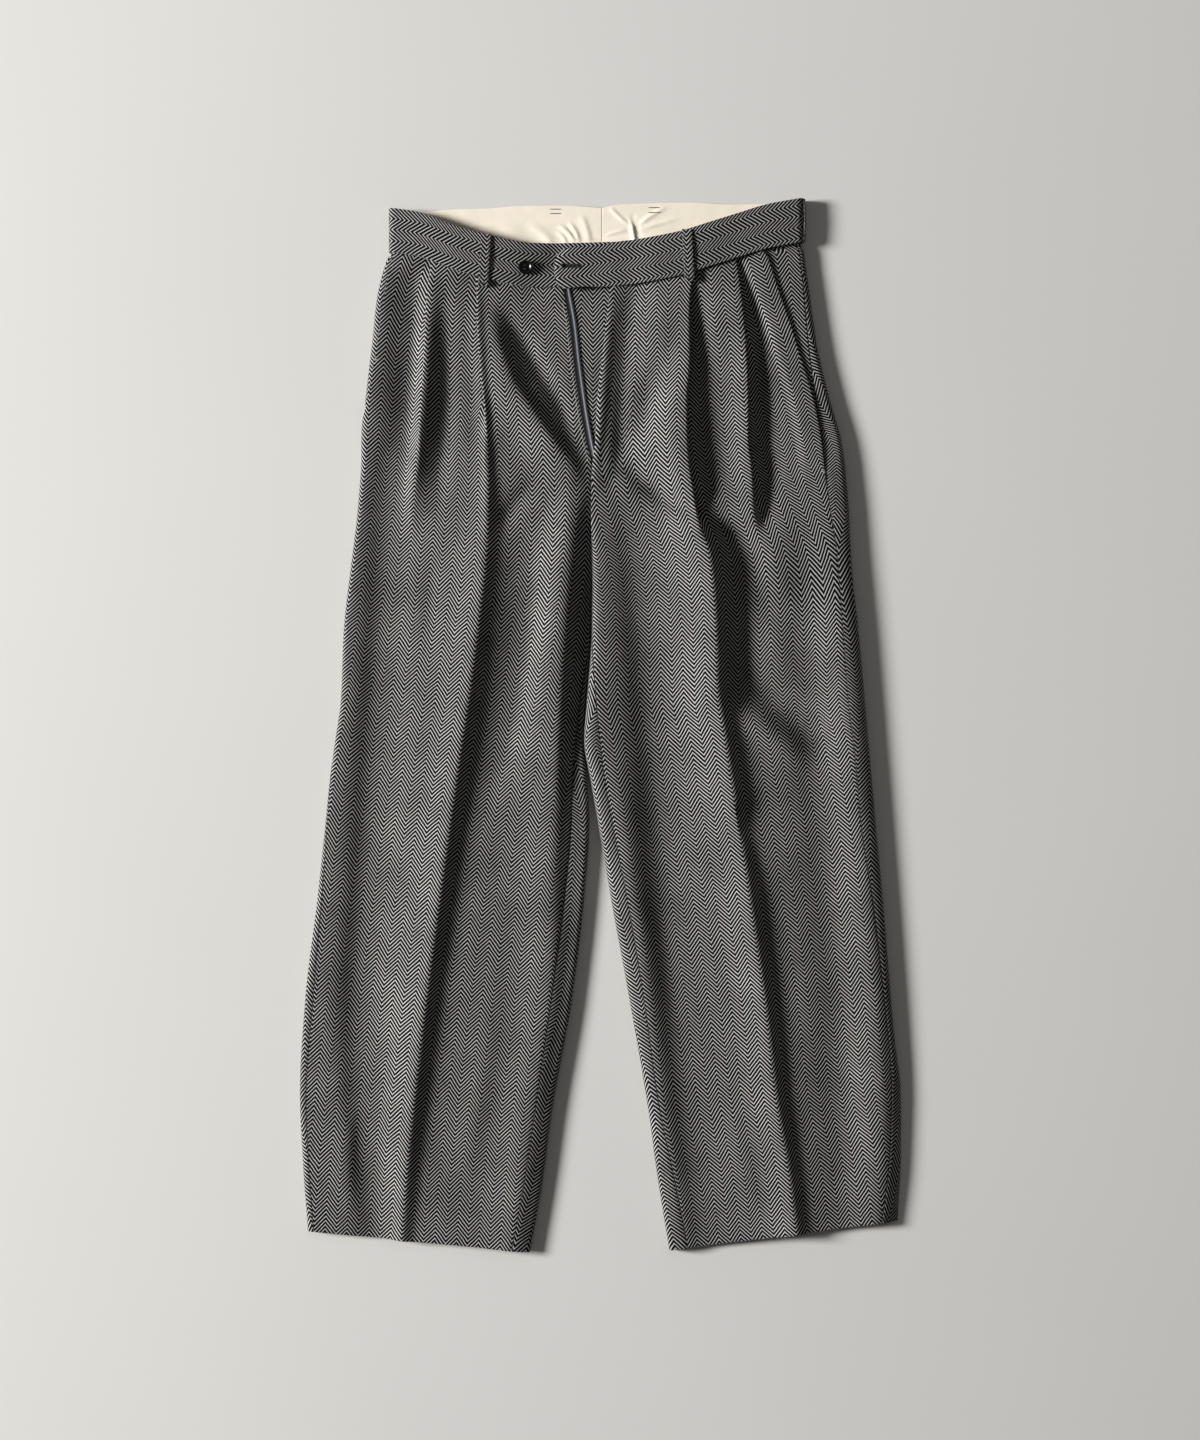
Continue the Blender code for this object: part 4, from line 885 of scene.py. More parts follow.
def fold_points(section, pleat):
    """Points of one pleat's Z after its start: a circle's arc, the straight mid layer and the same
    arc turned round, all pressed down while the pleat opens."""
    turn, bend = pleat["turn"], pleat["bend"]
    angles = np.linspace(0, turn, FRONT_STRIPS["arc"] + 1)[1:]
    arc = pairs(bend * np.sin(angles), -bend * (1 - np.cos(angles)))
    run = arc[-1] + pleat["layer"] * np.array([math.cos(turn), -math.sin(turn)])
    back = run + pairs(bend * (math.sin(turn) - np.sin(turn - angles)),
                       bend * (math.cos(turn) - np.cos(turn - angles)))
    path = np.concatenate([arc, [run], back])
    outs = pleat["start"] + path[:, 0]
    passed = section.pleats.index(pleat)
    level = section.base(outs) + section.swell(outs, passed, besides=pleat) + pleat["step"] / 2
    return pairs(outs, level + pleat["press"] * path[:, 1])


def side_points(section, pleat):
    """Points of the front from its second pleat to its outer edge."""
    ring, length, widest, _ = section.ring()
    outs = np.linspace(pleat["end"], section.outer - section.outer_radius, SIDE_POINTS)
    top = pairs(outs, section.base(outs) + section.swell(outs, 2))
    fold = ring[(length > length[TOP_POINTS - 1]) & (length < widest + SIDE_REACH)]
    path = np.concatenate([top, fold])
    measure = lengths(path)
    middle = measure[SIDE_POINTS - 1] + section.outer_radius * math.pi / 2
    path, edge = outer_lift(section, path, measure, middle)
    return spread(path, measure, 0, edge, FRONT_STRIPS["side"])


def back_section(half, row):
    """Points across the back at one row, from the side seam round to the inseam or the centre, how
    far across the pattern each lies from its own crease, on the underside, and how far the pattern
    is moved along the warp past the two folds, which slant: unfolding about a line that leans by f
    from the warp turns what lies e past it by 2 f."""
    section = Section(half, row)
    ring, length, widest, nearest = section.ring()
    seam = widest - along_fold(plan(half, "seam", row), section.outer_radius)
    span = section.outer_radius * (math.pi / 2 - 1)
    floor_a = widest + span + FLOOR_MARGIN
    floor_b = nearest - section.inner_radius * (math.pi / 2 - 1) - FLOOR_MARGIN
    if row < CROTCH:
        share = float(smooth((row - CLIMB_FROM) / (CROTCH - CLIMB_FROM)))
        climb = math.pi / 2 * share
        angles = np.linspace(0, climb, CLIMB_POINTS)
        start = section.inner - WALL / 2 * (1 - share) + section.inner_radius * math.sin(climb)
        tail = pairs(start - section.inner_radius * np.sin(angles),
                     section.floor + section.inner_radius * (1 - np.cos(angles)))
        flat = ring[(length < floor_b) & (ring[:, 0] > start + 1)]
        ring = np.concatenate([flat, tail])
        length = lengths(ring)
        end = length[-1]
    else:
        inset = max(section.centre - section.inner, 0.0)
        end = nearest + along_fold(inset, section.inner_radius) - 2 * GAP
    first = seam + GAP / 2
    points = [spread(ring, length, first, floor_a, BACK_STRIPS["side"])]
    points.append(spread(ring, length, floor_a, floor_b, BACK_STRIPS["floor"])[1:])
    points.append(spread(ring, length, floor_b, end, BACK_STRIPS["inside"])[1:])
    crease = floor_a + (ring_out(ring, length, floor_a) - section.crease) - first
    points = np.concatenate(points)
    along = lengths(points)
    past_outer = np.maximum(widest - first - along, 0.0)
    past_inner = np.maximum(along - (nearest - first), 0.0) * (row >= CROTCH)
    lean_outer, lean_inner = (math.atan((plan(half, name, row + LEAN_SPAN)
                                         - plan(half, name, row - LEAN_SPAN)) / 2 / LEAN_SPAN)
                              for name in ("outer", "inner"))
    across = along - crease + 2 * (past_outer * math.sin(lean_outer) ** 2
                                   - past_inner * math.sin(lean_inner) ** 2)
    shift = past_inner * math.sin(2 * lean_inner) - past_outer * math.sin(2 * lean_outer)
    return points, across, shift


def ring_out(ring, length, place):
    """Out of the ring at one distance along it."""
    return float(np.interp(place, length, ring[:, 0]))


def away_from(line, outs, downs):
    """For each place, how far it is from a line of (down, out) points, on which side (below zero
    towards the middle), and the share of the way along the line, in points."""
    best = np.full(outs.shape, 1e9)
    side = np.zeros(outs.shape)
    along = np.zeros(outs.shape)
    for i in range(len(line) - 1):
        (down_a, out_a), (down_b, out_b) = line[i], line[i + 1]
        step = np.array([down_b - down_a, out_b - out_a])
        size = math.hypot(*step)
        rest_down, rest_out = downs - down_a, outs - out_a
        share = (rest_down * step[0] + rest_out * step[1]) / size ** 2
        t = np.clip(share, 0.0, 1.0)
        distance = np.hypot(rest_down - t * step[0], rest_out - t * step[1])
        nearer = distance < best
        turn = np.sign(step[0] * rest_out - step[1] * rest_down)
        best = np.where(nearer, distance, best)
        side = np.where(nearer, turn, side)
        along = np.where(nearer, i + t, along)
    return best, side, along


def bells(folds, outs, downs):
    """Height that listed folds add: each is a bell across its line, with its own reach on either
    side, and its height follows its points."""
    outs, downs = np.broadcast_arrays(outs, downs)
    total = np.zeros(outs.shape)
    for inward, outward, points in folds:
        points = np.array(points, float)
        distance, side, along = away_from(points[:, :2], outs, downs)
        if points[-1, 0] < points[0, 0]:
            side = -side
        reach = np.where(side < 0, inward, outward)
        size = curve(along, np.arange(len(points)), points[:, 2])
        total += size * np.exp(-(distance / reach) ** 2)
    return total


def relief(half, outs, downs):
    """Height of the soft folds of the top cloth. They fade out under the waistband, and near the
    fly no hollow is left that the zip would show through."""
    total = bells(RELIEF[half], outs, downs)
    start, ramp = RELIEF_FADE
    total = total * smooth((downs - start) / ramp)
    gap, ramp = FLY_CLEAR
    near = smooth((outs - gap) / ramp)
    guard = np.where(downs < FLY_GUARDED, near, 1.0)
    return np.where(total < 0, total * guard, total) * RELIEF_SIZE


def raise_folds(half, outs, downs, heights):
    """Adds the soft folds to cloth that lies on top, and none to what is on the underside. A hollow
    nears the room that is left over RELIEF_FLOOR as a hyperbolic tangent does, and never fills it."""
    start, ramp = RELIEF_RISE
    added = relief(half, outs, downs) * smooth((heights - start) / ramp)
    room = np.maximum(heights - RELIEF_FLOOR, 0.1)
    return heights + np.where(added < 0, -room * np.tanh(-added / room), added)


def band_height(half, out):
    """Height of the waistband's middle on the front: over the pleats, and at the fly over the
    other half."""
    section = Section(half, WAIST)
    start, ramp = BAND_OVER_PLEATS
    rise = BAND_RISE * smooth((out - section.crease - start) / ramp)
    z = curve(out, (section.centre, section.crease * 0.55, section.crease,
                    (section.crease + section.outer) / 2, section.outer - section.outer_radius),
              [height(half, name, WAIST) for name in HEIGHT_COLUMNS[1:6]])
    z = z + WALL / 2 + SEAM + BAND_WALL / 2 + rise
    if half == "right":
        start, ramp = UNDERLAP_RAMP
        z = z - UNDERLAP_DROP * (1 - smooth((out - start) / ramp))
    return z


def to_space(half, outs, downs, heights):
    """Points in metres from out, down and height in millimetres."""
    outs, downs, heights = np.broadcast_arrays(outs, downs, heights)
    return np.stack([(SIGN[half] * outs - MIDDLE[0]) * MM, (MIDDLE[1] - downs) * MM, heights * MM],
                    axis=-1)


# Materials

def colour(hex_code, alpha=1.0):
    """Linear colour from an sRGB hex code."""
    parts = [int(hex_code[i:i + 2], 16) / 255 for i in (1, 3, 5)]
    return (*[c / 12.92 if c <= 0.04045 else ((c + 0.055) / 1.055) ** 2.4 for c in parts], alpha)


def add(tree, kind, inputs=(), **options):
    """Adds one node with its options. Its inputs are given by name or in order, and each is a value,
    or the node or socket that feeds it."""
    made = tree.nodes.new(kind)
    for name, value in options.items():
        setattr(made, name, value)
    for key, value in inputs.items() if isinstance(inputs, dict) else enumerate(inputs):
        if isinstance(value, bpy.types.Node):
            value = value.outputs[0]
        if isinstance(value, bpy.types.NodeSocket):
            tree.links.new(value, made.inputs[key])
        else:
            made.inputs[key].default_value = value
    return made


def surface(name, **sockets):
    """A new material, its node tree and its surface shader."""
    made = bpy.data.materials.new(name)
    made.use_nodes = True
    tree = made.node_tree
    shader = tree.nodes["Principled BSDF"]
    for key, value in sockets.items():
        shader.inputs[key.replace("_", " ")].default_value = value
    return made, tree, shader


def mottle(tree, size, detail):
    """A cloudy value over a piece's own coordinates, with spots of a size in millimetres."""
    place = add(tree, "ShaderNodeTexCoord").outputs["Object"]
    return add(tree, "ShaderNodeTexNoise", {"Vector": place, "Scale": 1 / (size * MM), "Detail": detail})


def tint(tree, shader, shade, value, low, high, start=0.0, end=1.0):
    """Colours the surface with an sRGB shade whose brightness goes evenly from "low" times, where the
    value is at its start, to "high" times, where it is at its end."""
    bright = add(tree, "ShaderNodeMapRange", {"Value": value, "From Min": start, "From Max": end,
                                              "To Min": low, "To Max": high})
    mixed = add(tree, "ShaderNodeVectorMath", {0: colour(shade)[:3], "Scale": bright}, operation="SCALE")
    tree.links.new(mixed.outputs[0], shader.inputs["Base Color"])


def emboss(tree, shader, height, strength, distance):
    """Lets a height in the pattern catch the light, as if it stood up by a distance in metres."""
    bump = add(tree, "ShaderNodeBump", {"Strength": strength, "Distance": distance, "Height": height})
    tree.links.new(bump.outputs[0], shader.inputs["Normal"])


def wool_herringbone():
    """Worsted wool, woven in a herringbone twill and pressed: crisp slanting lines of off-white
    weft on a charcoal warp that turn back every 11 mm, with a soft nap that greys them at grazing
    angles. UVs are in millimetres, across the warp and along it."""
    cloth = settings().cloth
    stripe, pitch = cloth.stripe / MM, cloth.pitch / MM
    made, tree, shader = surface("wool herringbone, woven and pressed", Roughness=0.92,
                                 Sheen_Weight=0.07, Sheen_Roughness=0.45)
    shader.inputs["Specular IOR Level"].default_value = 0.16
    shader.inputs["Sheen Tint"].default_value = colour("#e8e4dc")
    uv = add(tree, "ShaderNodeUVMap", uv_map="cloth")
    drift = add(tree, "ShaderNodeTexNoise", {"Vector": uv, "Scale": 1 / PULL_SIZE, "Detail": 2.0},
                noise_dimensions="2D").outputs["Color"]
    pull = add(tree, "ShaderNodeSeparateXYZ", [drift])
    places = add(tree, "ShaderNodeSeparateXYZ", [uv])
    across, along = (add(tree, "ShaderNodeMath", (pull.outputs[i], PULL[i], places.outputs[i]),
                         operation="MULTIPLY_ADD") for i in (0, 1))
    # slanting lines that turn back at each stripe's edge, a touch out of step where they turn
    turned = add(tree, "ShaderNodeMath", (across, stripe), operation="PINGPONG")
    stripes = add(tree, "ShaderNodeMath", (across, stripe), operation="DIVIDE")
    side = add(tree, "ShaderNodeMath", [stripes], operation="FLOOR")
    side = add(tree, "ShaderNodeMath", (side, 2.0), operation="MODULO")
    phase = add(tree, "ShaderNodeMath", (turned, math.tan(cloth.slope), along), operation="MULTIPLY_ADD")
    phase = add(tree, "ShaderNodeMath", (phase, pitch), operation="DIVIDE")
    phase = add(tree, "ShaderNodeMath", (side, 0.12, phase), operation="MULTIPLY_ADD")
    wave = add(tree, "ShaderNodeMath", (phase, 0.5), operation="PINGPONG")
    # hairy edges: tufts of fibre cross from line to line, drawn coarser than real so that they show
    fuzz = add(tree, "ShaderNodeTexNoise", {"Vector": uv, "Scale": 1 / TUFT_SIZE, "Detail": 4.0,
                                            "Roughness": 0.65}, noise_dimensions="2D")
    hair = add(tree, "ShaderNodeMath", (fuzz, 0.3, -0.15), operation="MULTIPLY_ADD")
    wave = add(tree, "ShaderNodeMath", (wave, hair), operation="ADD")
    line = add(tree, "ShaderNodeMapRange", {"Value": wave, "From Min": 0.25, "From Max": 0.43},
               interpolation_type="SMOOTHSTEP")
    # yarns differ a little in shade, each for a couple of centimetres, and so do patches of the nap
    width, run = YARN_SIZE
    stretch = add(tree, "ShaderNodeMapping", {"Vector": uv, "Scale": (1 / width, 1 / run, 1.0)})
    yarn = add(tree, "ShaderNodeTexNoise", {"Vector": stretch, "Scale": 1.0, "Detail": 2.0},
               noise_dimensions="2D")
    nap = add(tree, "ShaderNodeTexNoise", {"Vector": uv, "Scale": 1 / NAP_SIZE, "Detail": 4.0},
              noise_dimensions="2D")
    yarn = add(tree, "ShaderNodeMath", (yarn, 0.5, 0.55), operation="MULTIPLY_ADD")
    nap = add(tree, "ShaderNodeMath", (nap, 0.5, -0.05), operation="MULTIPLY_ADD")
    shade = add(tree, "ShaderNodeMath", (yarn, nap), operation="ADD")
    yarns = add(tree, "ShaderNodeValToRGB", {"Fac": line})
    for stop, shade_of in zip(yarns.color_ramp.elements, (cloth.dark, cloth.light)):
        stop.color = colour(shade_of)
    mixed = add(tree, "ShaderNodeVectorMath", {0: yarns, "Scale": shade}, operation="SCALE")
    tree.links.new(mixed.outputs[0], shader.inputs["Base Color"])
    raised = add(tree, "ShaderNodeMath", (line, 0.7), operation="MULTIPLY")
    raised = add(tree, "ShaderNodeMath", (fuzz, 0.6, raised), operation="MULTIPLY_ADD")
    emboss(tree, shader, raised, 0.35, 0.00035)
    return made


def wool_edge():
    """Turned and pressed wool edge: the herringbone is seen end-on, so that it reads as one soft
    charcoal line with the odd light yarn."""
    made, tree, shader = surface("wool edge, turned and pressed", Roughness=0.95, Sheen_Weight=0.1)
    tint(tree, shader, settings().cloth.light, mottle(tree, EDGE_YARN, 3.0), 0.05, 0.4, 0.35, 0.7)
    return made


def cotton_lining():
    """Cream cotton, plain woven and pressed: matt, with a fine thread grid and faint slubs."""
    made, tree, shader = surface("cotton lining, plain woven", Roughness=0.85, Sheen_Weight=0.1)
    uv = add(tree, "ShaderNodeUVMap", uv_map="cloth")
    slub = add(tree, "ShaderNodeTexNoise", {"Vector": uv, "Scale": 1 / SLUB_SIZE, "Detail": 5.0},
               noise_dimensions="2D")
    tint(tree, shader, settings().trim.cream, slub, 0.93, 1.05)
    # warp and weft threads are drawn at 0.9 mm, coarser than real, so that they show
    places = add(tree, "ShaderNodeSeparateXYZ", [uv])
    waves = []
    for place in places.outputs[:2]:
        turn = add(tree, "ShaderNodeMath", (place, math.tau / LINING_THREAD), operation="MULTIPLY")
        waves.append(add(tree, "ShaderNodeMath", [turn], operation="SINE"))
    emboss(tree, shader, add(tree, "ShaderNodeMath", waves, operation="MULTIPLY"), 0.25, 0.0002)
    return made


def zip_tape_cloth():
    """Polyester zip tape, tightly woven: grey and smooth, with fine ribs across it and smooth cords along it.
    Its grey is painted lighter on the cords and ribs and darker between them, as painted shade and highlight
    of the weave."""
    made, tree, shader = surface("zip tape, woven polyester", Roughness=0.6)
    uv = add(tree, "ShaderNodeUVMap", uv_map="cloth")
    places = add(tree, "ShaderNodeSeparateXYZ", [uv])
    waves = []
    for place, size in zip(places.outputs, (TAPE_CORD, TAPE_RIB)):
        turn = add(tree, "ShaderNodeMath", (place, math.tau / size), operation="MULTIPLY")
        waves.append(add(tree, "ShaderNodeMath", [turn], operation="SINE"))
    both = add(tree, "ShaderNodeMath", (waves[0], 2.0, waves[1]), operation="MULTIPLY_ADD")
    # painted shade and highlight: the grey is drawn darker between the cords and ribs and lighter on them, as
    # light falls on the weave; the bump below is the real relief
    tint(tree, shader, settings().trim.tape, both, 0.6, 1.3, -3.0, 3.0)
    emboss(tree, shader, both, 0.4, 0.0004)
    return made


def polished_button():
    """Polyester button, cast, turned and polished: near black and glossy."""
    made, tree, shader = surface("polyester button, turned and polished", Roughness=0.26, IOR=1.5)
    tint(tree, shader, settings().trim.horn, mottle(tree, CLOUD_SIZE, 3.0), 0.6, 1.6)
    return made


def nickel():
    """Nickel-plated brass, die cast and tumbled: bright grey metal with a soft grain."""
    made, tree, shader = surface("zip metal, nickel plated", Metallic=1.0)
    rough = add(tree, "ShaderNodeMapRange", {"Value": mottle(tree, GRAIN_SIZE, 3.0), "To Min": 0.24,
                                             "To Max": 0.4})
    tree.links.new(rough.outputs[0], shader.inputs["Roughness"])
    shader.inputs["Base Color"].default_value = colour("#b9b7b2")
    return made


def floor_paint():
    """Smooth painted floor, matt: even and pale, with the faintest mottle."""
    made, tree, shader = surface("painted floor, matt", Roughness=0.9)
    tint(tree, shader, settings().stage.floor, mottle(tree, MOTTLE_SIZE, 4.0), 0.98, 1.02)
    return made


def thread(name, shade):
    """Polyester sewing thread, spun and twisted: a soft sheen along it and a fine twist."""
    made, tree, shader = surface(name, Roughness=0.6, Sheen_Weight=0.15)
    tint(tree, shader, shade, mottle(tree, TWIST_SIZE, 1.0), 0.75, 1.25)
    return made


def dark_thread():
    """Charcoal sewing thread."""
    return thread("sewing thread, charcoal polyester", settings().trim.thread_dark)


def light_thread():
    """Pale grey sewing thread, which the pick stitches show."""
    return thread("sewing thread, pale grey polyester", settings().trim.thread_light)


# The finishes made so far
FINISHES = {}


def finish(maker):
    """The material that a maker function gives, made once."""
    if maker not in FINISHES:
        FINISHES[maker] = maker()
    return FINISHES[maker]


# Cloth pieces

def rows_between(first, last, step=ROW_STEP):
    """Rows of a panel, evenly spaced."""
    return np.linspace(first, last, int(round((last - first) / step)) + 1)


def piece(name, mesh):
    """Puts a mesh into the scene as one piece of the trousers."""
    made = bpy.data.objects.new(name, mesh)
    bpy.context.scene.collection.objects.link(made)
    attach(made, "root")
    return made


def cloth(name, node, grid, uv, flat, area=None, wall=WALL, maker=wool_herringbone, cut=None):
    """A sheet of cloth in place of a node, through a grid of points in metres, with its UVs in
    millimetres, a wall given by Solidify and softly rounded edges. "cut" marks the squares of the
    grid left out."""
    rows, columns = grid.shape[:2]
    index = np.arange(rows * columns).reshape(rows, columns)
    faces = np.stack([index[:-1, :-1], index[:-1, 1:], index[1:, 1:], index[1:, :-1]], axis=-1)
    faces = faces.reshape(-1, 4)
    if cut is not None:
        faces = faces[~cut.ravel()]
    points = grid.reshape(-1, 3)
    a, b, c = (points[faces[:, i]] for i in (0, 1, 3))
    if np.cross(b - a, c - a)[:, 2].sum() < 0:
        faces = faces[:, ::-1]
    mesh = bpy.data.meshes.new(name)
    mesh.from_pydata(points.tolist(), [], faces.tolist())
    layer = mesh.uv_layers.new(name="cloth")
    layer.data.foreach_set("uv", uv.reshape(-1, 2)[faces.ravel()].astype(np.float32).ravel())
    mesh.shade_smooth()
    mesh.materials.append(finish(maker))
    if maker is wool_herringbone:
        mesh.materials.append(finish(wool_edge))
    made = piece(name, mesh)
    solid = made.modifiers.new("wall", "SOLIDIFY")
    solid.material_offset_rim = 1
    solid.thickness = wall * MM
    solid.offset = 0.0
    solid.use_quality_normals = True
    bevel = made.modifiers.new("edges", "BEVEL")
    bevel.width = EDGE_ROUND * wall * MM
    bevel.segments = 2
    bevel.limit_method = "ANGLE"
    bevel.angle_limit = math.radians(60)
    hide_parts(node)
    return made


def warp_uv(across, shift, row_list, crease_out, crease_down, downs, facing_up):
    """UVs of a panel whose warp runs along its crease: the distance across from the crease and the
    drop below it, turned by the crease's slant there, with V counted on along the crease.
    "facing_up" is 1 where the crease is on top and -1 where it is on the underside."""
    slant = np.gradient(crease_out, crease_down)
    window = np.exp(-(np.subtract.outer(row_list, row_list) / SLANT_WINDOW) ** 2)
    angle = facing_up * np.arctan((window * slant).sum(axis=1) / window.sum(axis=1))[:, None]
    drop = downs - crease_down[:, None]
    run = lengths(pairs(crease_out, crease_down))[:, None]
    return pairs(across * np.cos(angle) - drop * np.sin(angle),
                 run + drop * np.cos(angle) + across * np.sin(angle) + shift)


def panel(half, section, edge, row_list, facing_up=1):
    """Points in metres and UVs of one panel, row by row."""
    points, across, shift = (np.array(held) for held in zip(*(section(half, row) for row in row_list)))
    outs, heights = points[..., 0], points[..., 1]
    crease_out = np.array([plan(half, "crease", row) for row in row_list])
    downs = np.stack([down_at(half, line, row, edge) for line, row in zip(outs, row_list)])
    crease_down = np.array([float(down_at(half, out, row, edge)) for out, row in zip(crease_out, row_list)])
    uv = warp_uv(across, shift, row_list, crease_out, crease_down, downs, facing_up)
    return to_space(half, outs, downs, raise_folds(half, outs, downs, heights)), uv


def front(half):
    """Front of one leg: its sections one below the other, with two reverse pleats at the waist and a
    pressed crease to the hem."""
    grid, uv = panel(half, front_section, top_edge, rows_between(TOP_ROW, HEM))
    return cloth(f"{half}_front", f"front_panel_{half}", grid, uv, *PANEL_CUT[f"{half}_front"])


def back(half):
    """Back of one leg: its sections one below the other, each from the side seam round the underside
    to the inseam."""
    grid, uv = panel(half, back_section, back_edge, rows_between(TOP_ROW, HEM, BACK_STEP), facing_up=-1)
    return cloth(f"{half}_back", f"back_panel_{half}", grid, uv + BACK_MATCH, *PANEL_CUT[f"{half}_back"])


def facing(half):
    """Pocket facing: the same loop as the back's, from a little before the mouth's place on it, under
    the front, to the side seam."""
    row_list = rows_between(TOP_ROW, FACING_END[half])
    sections = []
    for row in row_list:
        section = Section(half, row)
        ring, length, widest, _ = section.ring()
        start = widest - along_fold(plan(half, "mouth", row), section.outer_radius) - FACING_UNDER
        seam = widest - along_fold(plan(half, "seam", row), section.outer_radius) - GAP
        sections.append(spread(ring, length, start, seam, FACING_STRIPS))
    outs, heights = np.moveaxis(np.array(sections), -1, 0)
    across = np.array([lengths(points) - lengths(points)[-1] for points in sections])
    downs = np.stack([down_at(half, line, row) for line, row in zip(outs, row_list)])
    grid = to_space(half, outs, downs, raise_folds(half, outs, downs, heights))
    span = np.ptp(across, axis=1).mean() * MM
    size = (span * FACING_WIDEST, (row_list[-1] - row_list[0]) * MM)
    return cloth(f"{half}_pocket_facing", f"pocket_facing_{half}", grid, pairs(across, downs), size,
                 span * size[1])


def back_centre(half):
    """Out of the centre back seam of the waistband."""
    return SIGN[half] * BACK_CENTRE


def band_path(half):
    """Waistband along its length: a run on the front, a half circle round the side fold and a level
    run on the back, as out, height and turn round the fold (0 front, 1 back)."""
    fold = BAND_FOLD[half] - BAND_WALL / 2
    high = float(band_height(half, fold))
    radius = (high - BAND_BACK) / 2
    front_end = UNDERLAP_END if half == "right" else TAB_END
    nose = front_end + TAB_ROUND * (1 - np.cos(np.linspace(0, math.pi / 2, BAND_POINTS["nose"])))
    if half == "left":
        fine = np.arange(EYE_OUT - 2 * EYE_RADIUS, EYE_OUT + SLIT_LENGTH + 4, HOLE_STEP)
        nose = np.r_[nose[nose < fine[0] - SEAM], fine]
    flat = np.linspace(nose[-1], fold - radius, BAND_POINTS["front"])[1:]
    along_front = np.r_[nose, flat]
    angles = np.linspace(0, math.pi, BAND_POINTS["fold"])[1:]
    behind = np.linspace(fold - radius, back_centre(half) + SEAM / 2, BAND_POINTS["back"])[1:]
    outs = np.concatenate([along_front, fold - radius * (1 - np.sin(angles)), behind])
    heights = np.concatenate([band_height(half, along_front), BAND_BACK + radius * (1 + np.cos(angles)),
                              np.full(len(behind), BAND_BACK)])
    turns = np.concatenate([np.zeros(len(along_front)), angles / math.pi, np.ones(len(behind))])
    return outs, heights, turns


def waistband(half):
    """One half of the waistband, to the centre back: each point of its path is drawn straight down
    from the top edge by the band's height. The tab's end closes as an ellipse does and lifts inside
    its rolled edge, and the underlap sinks as a bell beside it. The stripes run along it."""
    outs, heights, turns = band_path(half)
    ahead = turns == 0
    whole = (1 - turns) * top_edge(half, outs) + turns * back_edge(half, outs)
    shares = np.linspace(0, 1, BAND_ROWS[half])[:, None]
    cut = None
    if half == "right":
        downs = whole + BAND_HEIGHT * shares
        level = heights + bells((UNDERLAP_DIP,), outs, downs) * ahead
    else:
        start, ramp = TAB_TAPER
        full = BAND_HEIGHT - (BAND_HEIGHT - TAB_HEIGHT) * (1 - smooth((outs - start) / ramp)) * ahead
        nose = np.clip((TAB_END + TAB_ROUND - outs) / TAB_ROUND, 0, 1) * ahead
        nip = TAB_NIP * full * (1 - np.sqrt(1 - nose ** 2))
        tall = full - 2 * nip
        downs = whole + nip + tall * shares
        aside = (np.abs(shares - 0.5) * tall - (0.5 - TAB_NIP) * full) / (TAB_NIP * full)
        inside = (1 - np.hypot(nose, np.clip(aside, 0, 1))) * TAB_ROUND
        roll = (1 - smooth(inside / TAB_ROLL)) * smooth(nose / 0.3)
        settle = 1 - smooth((outs - TAB_END - TAB_ROUND) / TAB_SETTLE)
        level = heights + TAB_LIFT * (1 - roll) * settle * ahead
        middles = (downs[1:, 1:] + downs[:-1, :-1]) / 2
        cut = (keyhole_distance((outs[1:] + outs[:-1]) / 2, middles) < 0) & ahead[1:]
    run = lengths(np.stack([outs, whole, heights], axis=1))
    length = run[-1] * MM
    return cloth(f"{half}_waistband", f"waistband_{half}", to_space(half, outs, downs, level),
                 pairs(downs - whole, run) + BAND_MATCH[half], (BAND_HEIGHT * MM, length),
                 BAND_MEAN * length, wall=BAND_WALL, cut=cut)


def keyhole_distance(outs, downs):
    """Distance from the edge of the buttonhole, below zero inside: the nearer of a round eye and a
    slit with round ends."""
    eye = np.hypot(outs - EYE_OUT, downs - EYE_DOWN) - EYE_RADIUS
    share = np.clip((outs - EYE_OUT) / SLIT_LENGTH, 0, 1)
    slit = np.hypot(outs - EYE_OUT - share * SLIT_LENGTH, downs - EYE_DOWN) - SLIT_WIDTH / 2
    return np.minimum(eye, slit)


def lining(half):
    """Cream lining inside the back of the waistband: level, with one S-shaped step up over the back's
    edge, and the bells of its creases, which fade out at its edges."""
    rows, columns = LINING_GRID
    outs = np.linspace(back_centre(half) + SEAM / 2, LINING_OUT[half], columns)
    low = BAND_BACK + BAND_WALL / 2 + SEAM + WALL / 2
    reach = np.linspace(LINING_DROP, LINING_LENGTH, rows)[:, None]
    level = low + (WALL + SEAM) * smooth((reach - LINING_STEP) / LINING_RAMP)
    downs = back_edge(half, outs) + reach
    creases = bells(LINING_CREASES[half], outs, downs)
    above, below = LINING_FADES
    depth = smooth((reach - LINING_DROP) / above) * smooth((LINING_LENGTH - reach) / below)
    shallow = np.where(creases < 0, -LINING_ROOM * np.tanh(-creases / LINING_ROOM), creases)
    size = (LINING_LENGTH * MM, (LINING_OUT[half] - back_centre(half)) * MM)
    return cloth(f"{half}_waistband_lining", f"waistband_lining_{half}",
                 to_space(half, outs, downs, level + shallow * depth), pairs(outs, downs), size,
                 maker=cotton_lining)


def loop_strip(name, node, kind, shape, length=LOOP_LENGTH):
    """A belt loop: a folded strip whose chevron is centred along it. "shape" gives the points for
    places across it, in millimetres from its middle, and for shares of its length."""
    rows, columns = LOOP_GRIDS[kind]
    across = np.linspace(-0.5, 0.5, columns) * LOOP_WIDTH
    share = np.linspace(0, 1, rows)[:, None]
    return cloth(name, node, shape(across, share), pairs(across, share * length),
                 (LOOP_WIDTH * MM, length * MM), wall=LOOP_WALL)


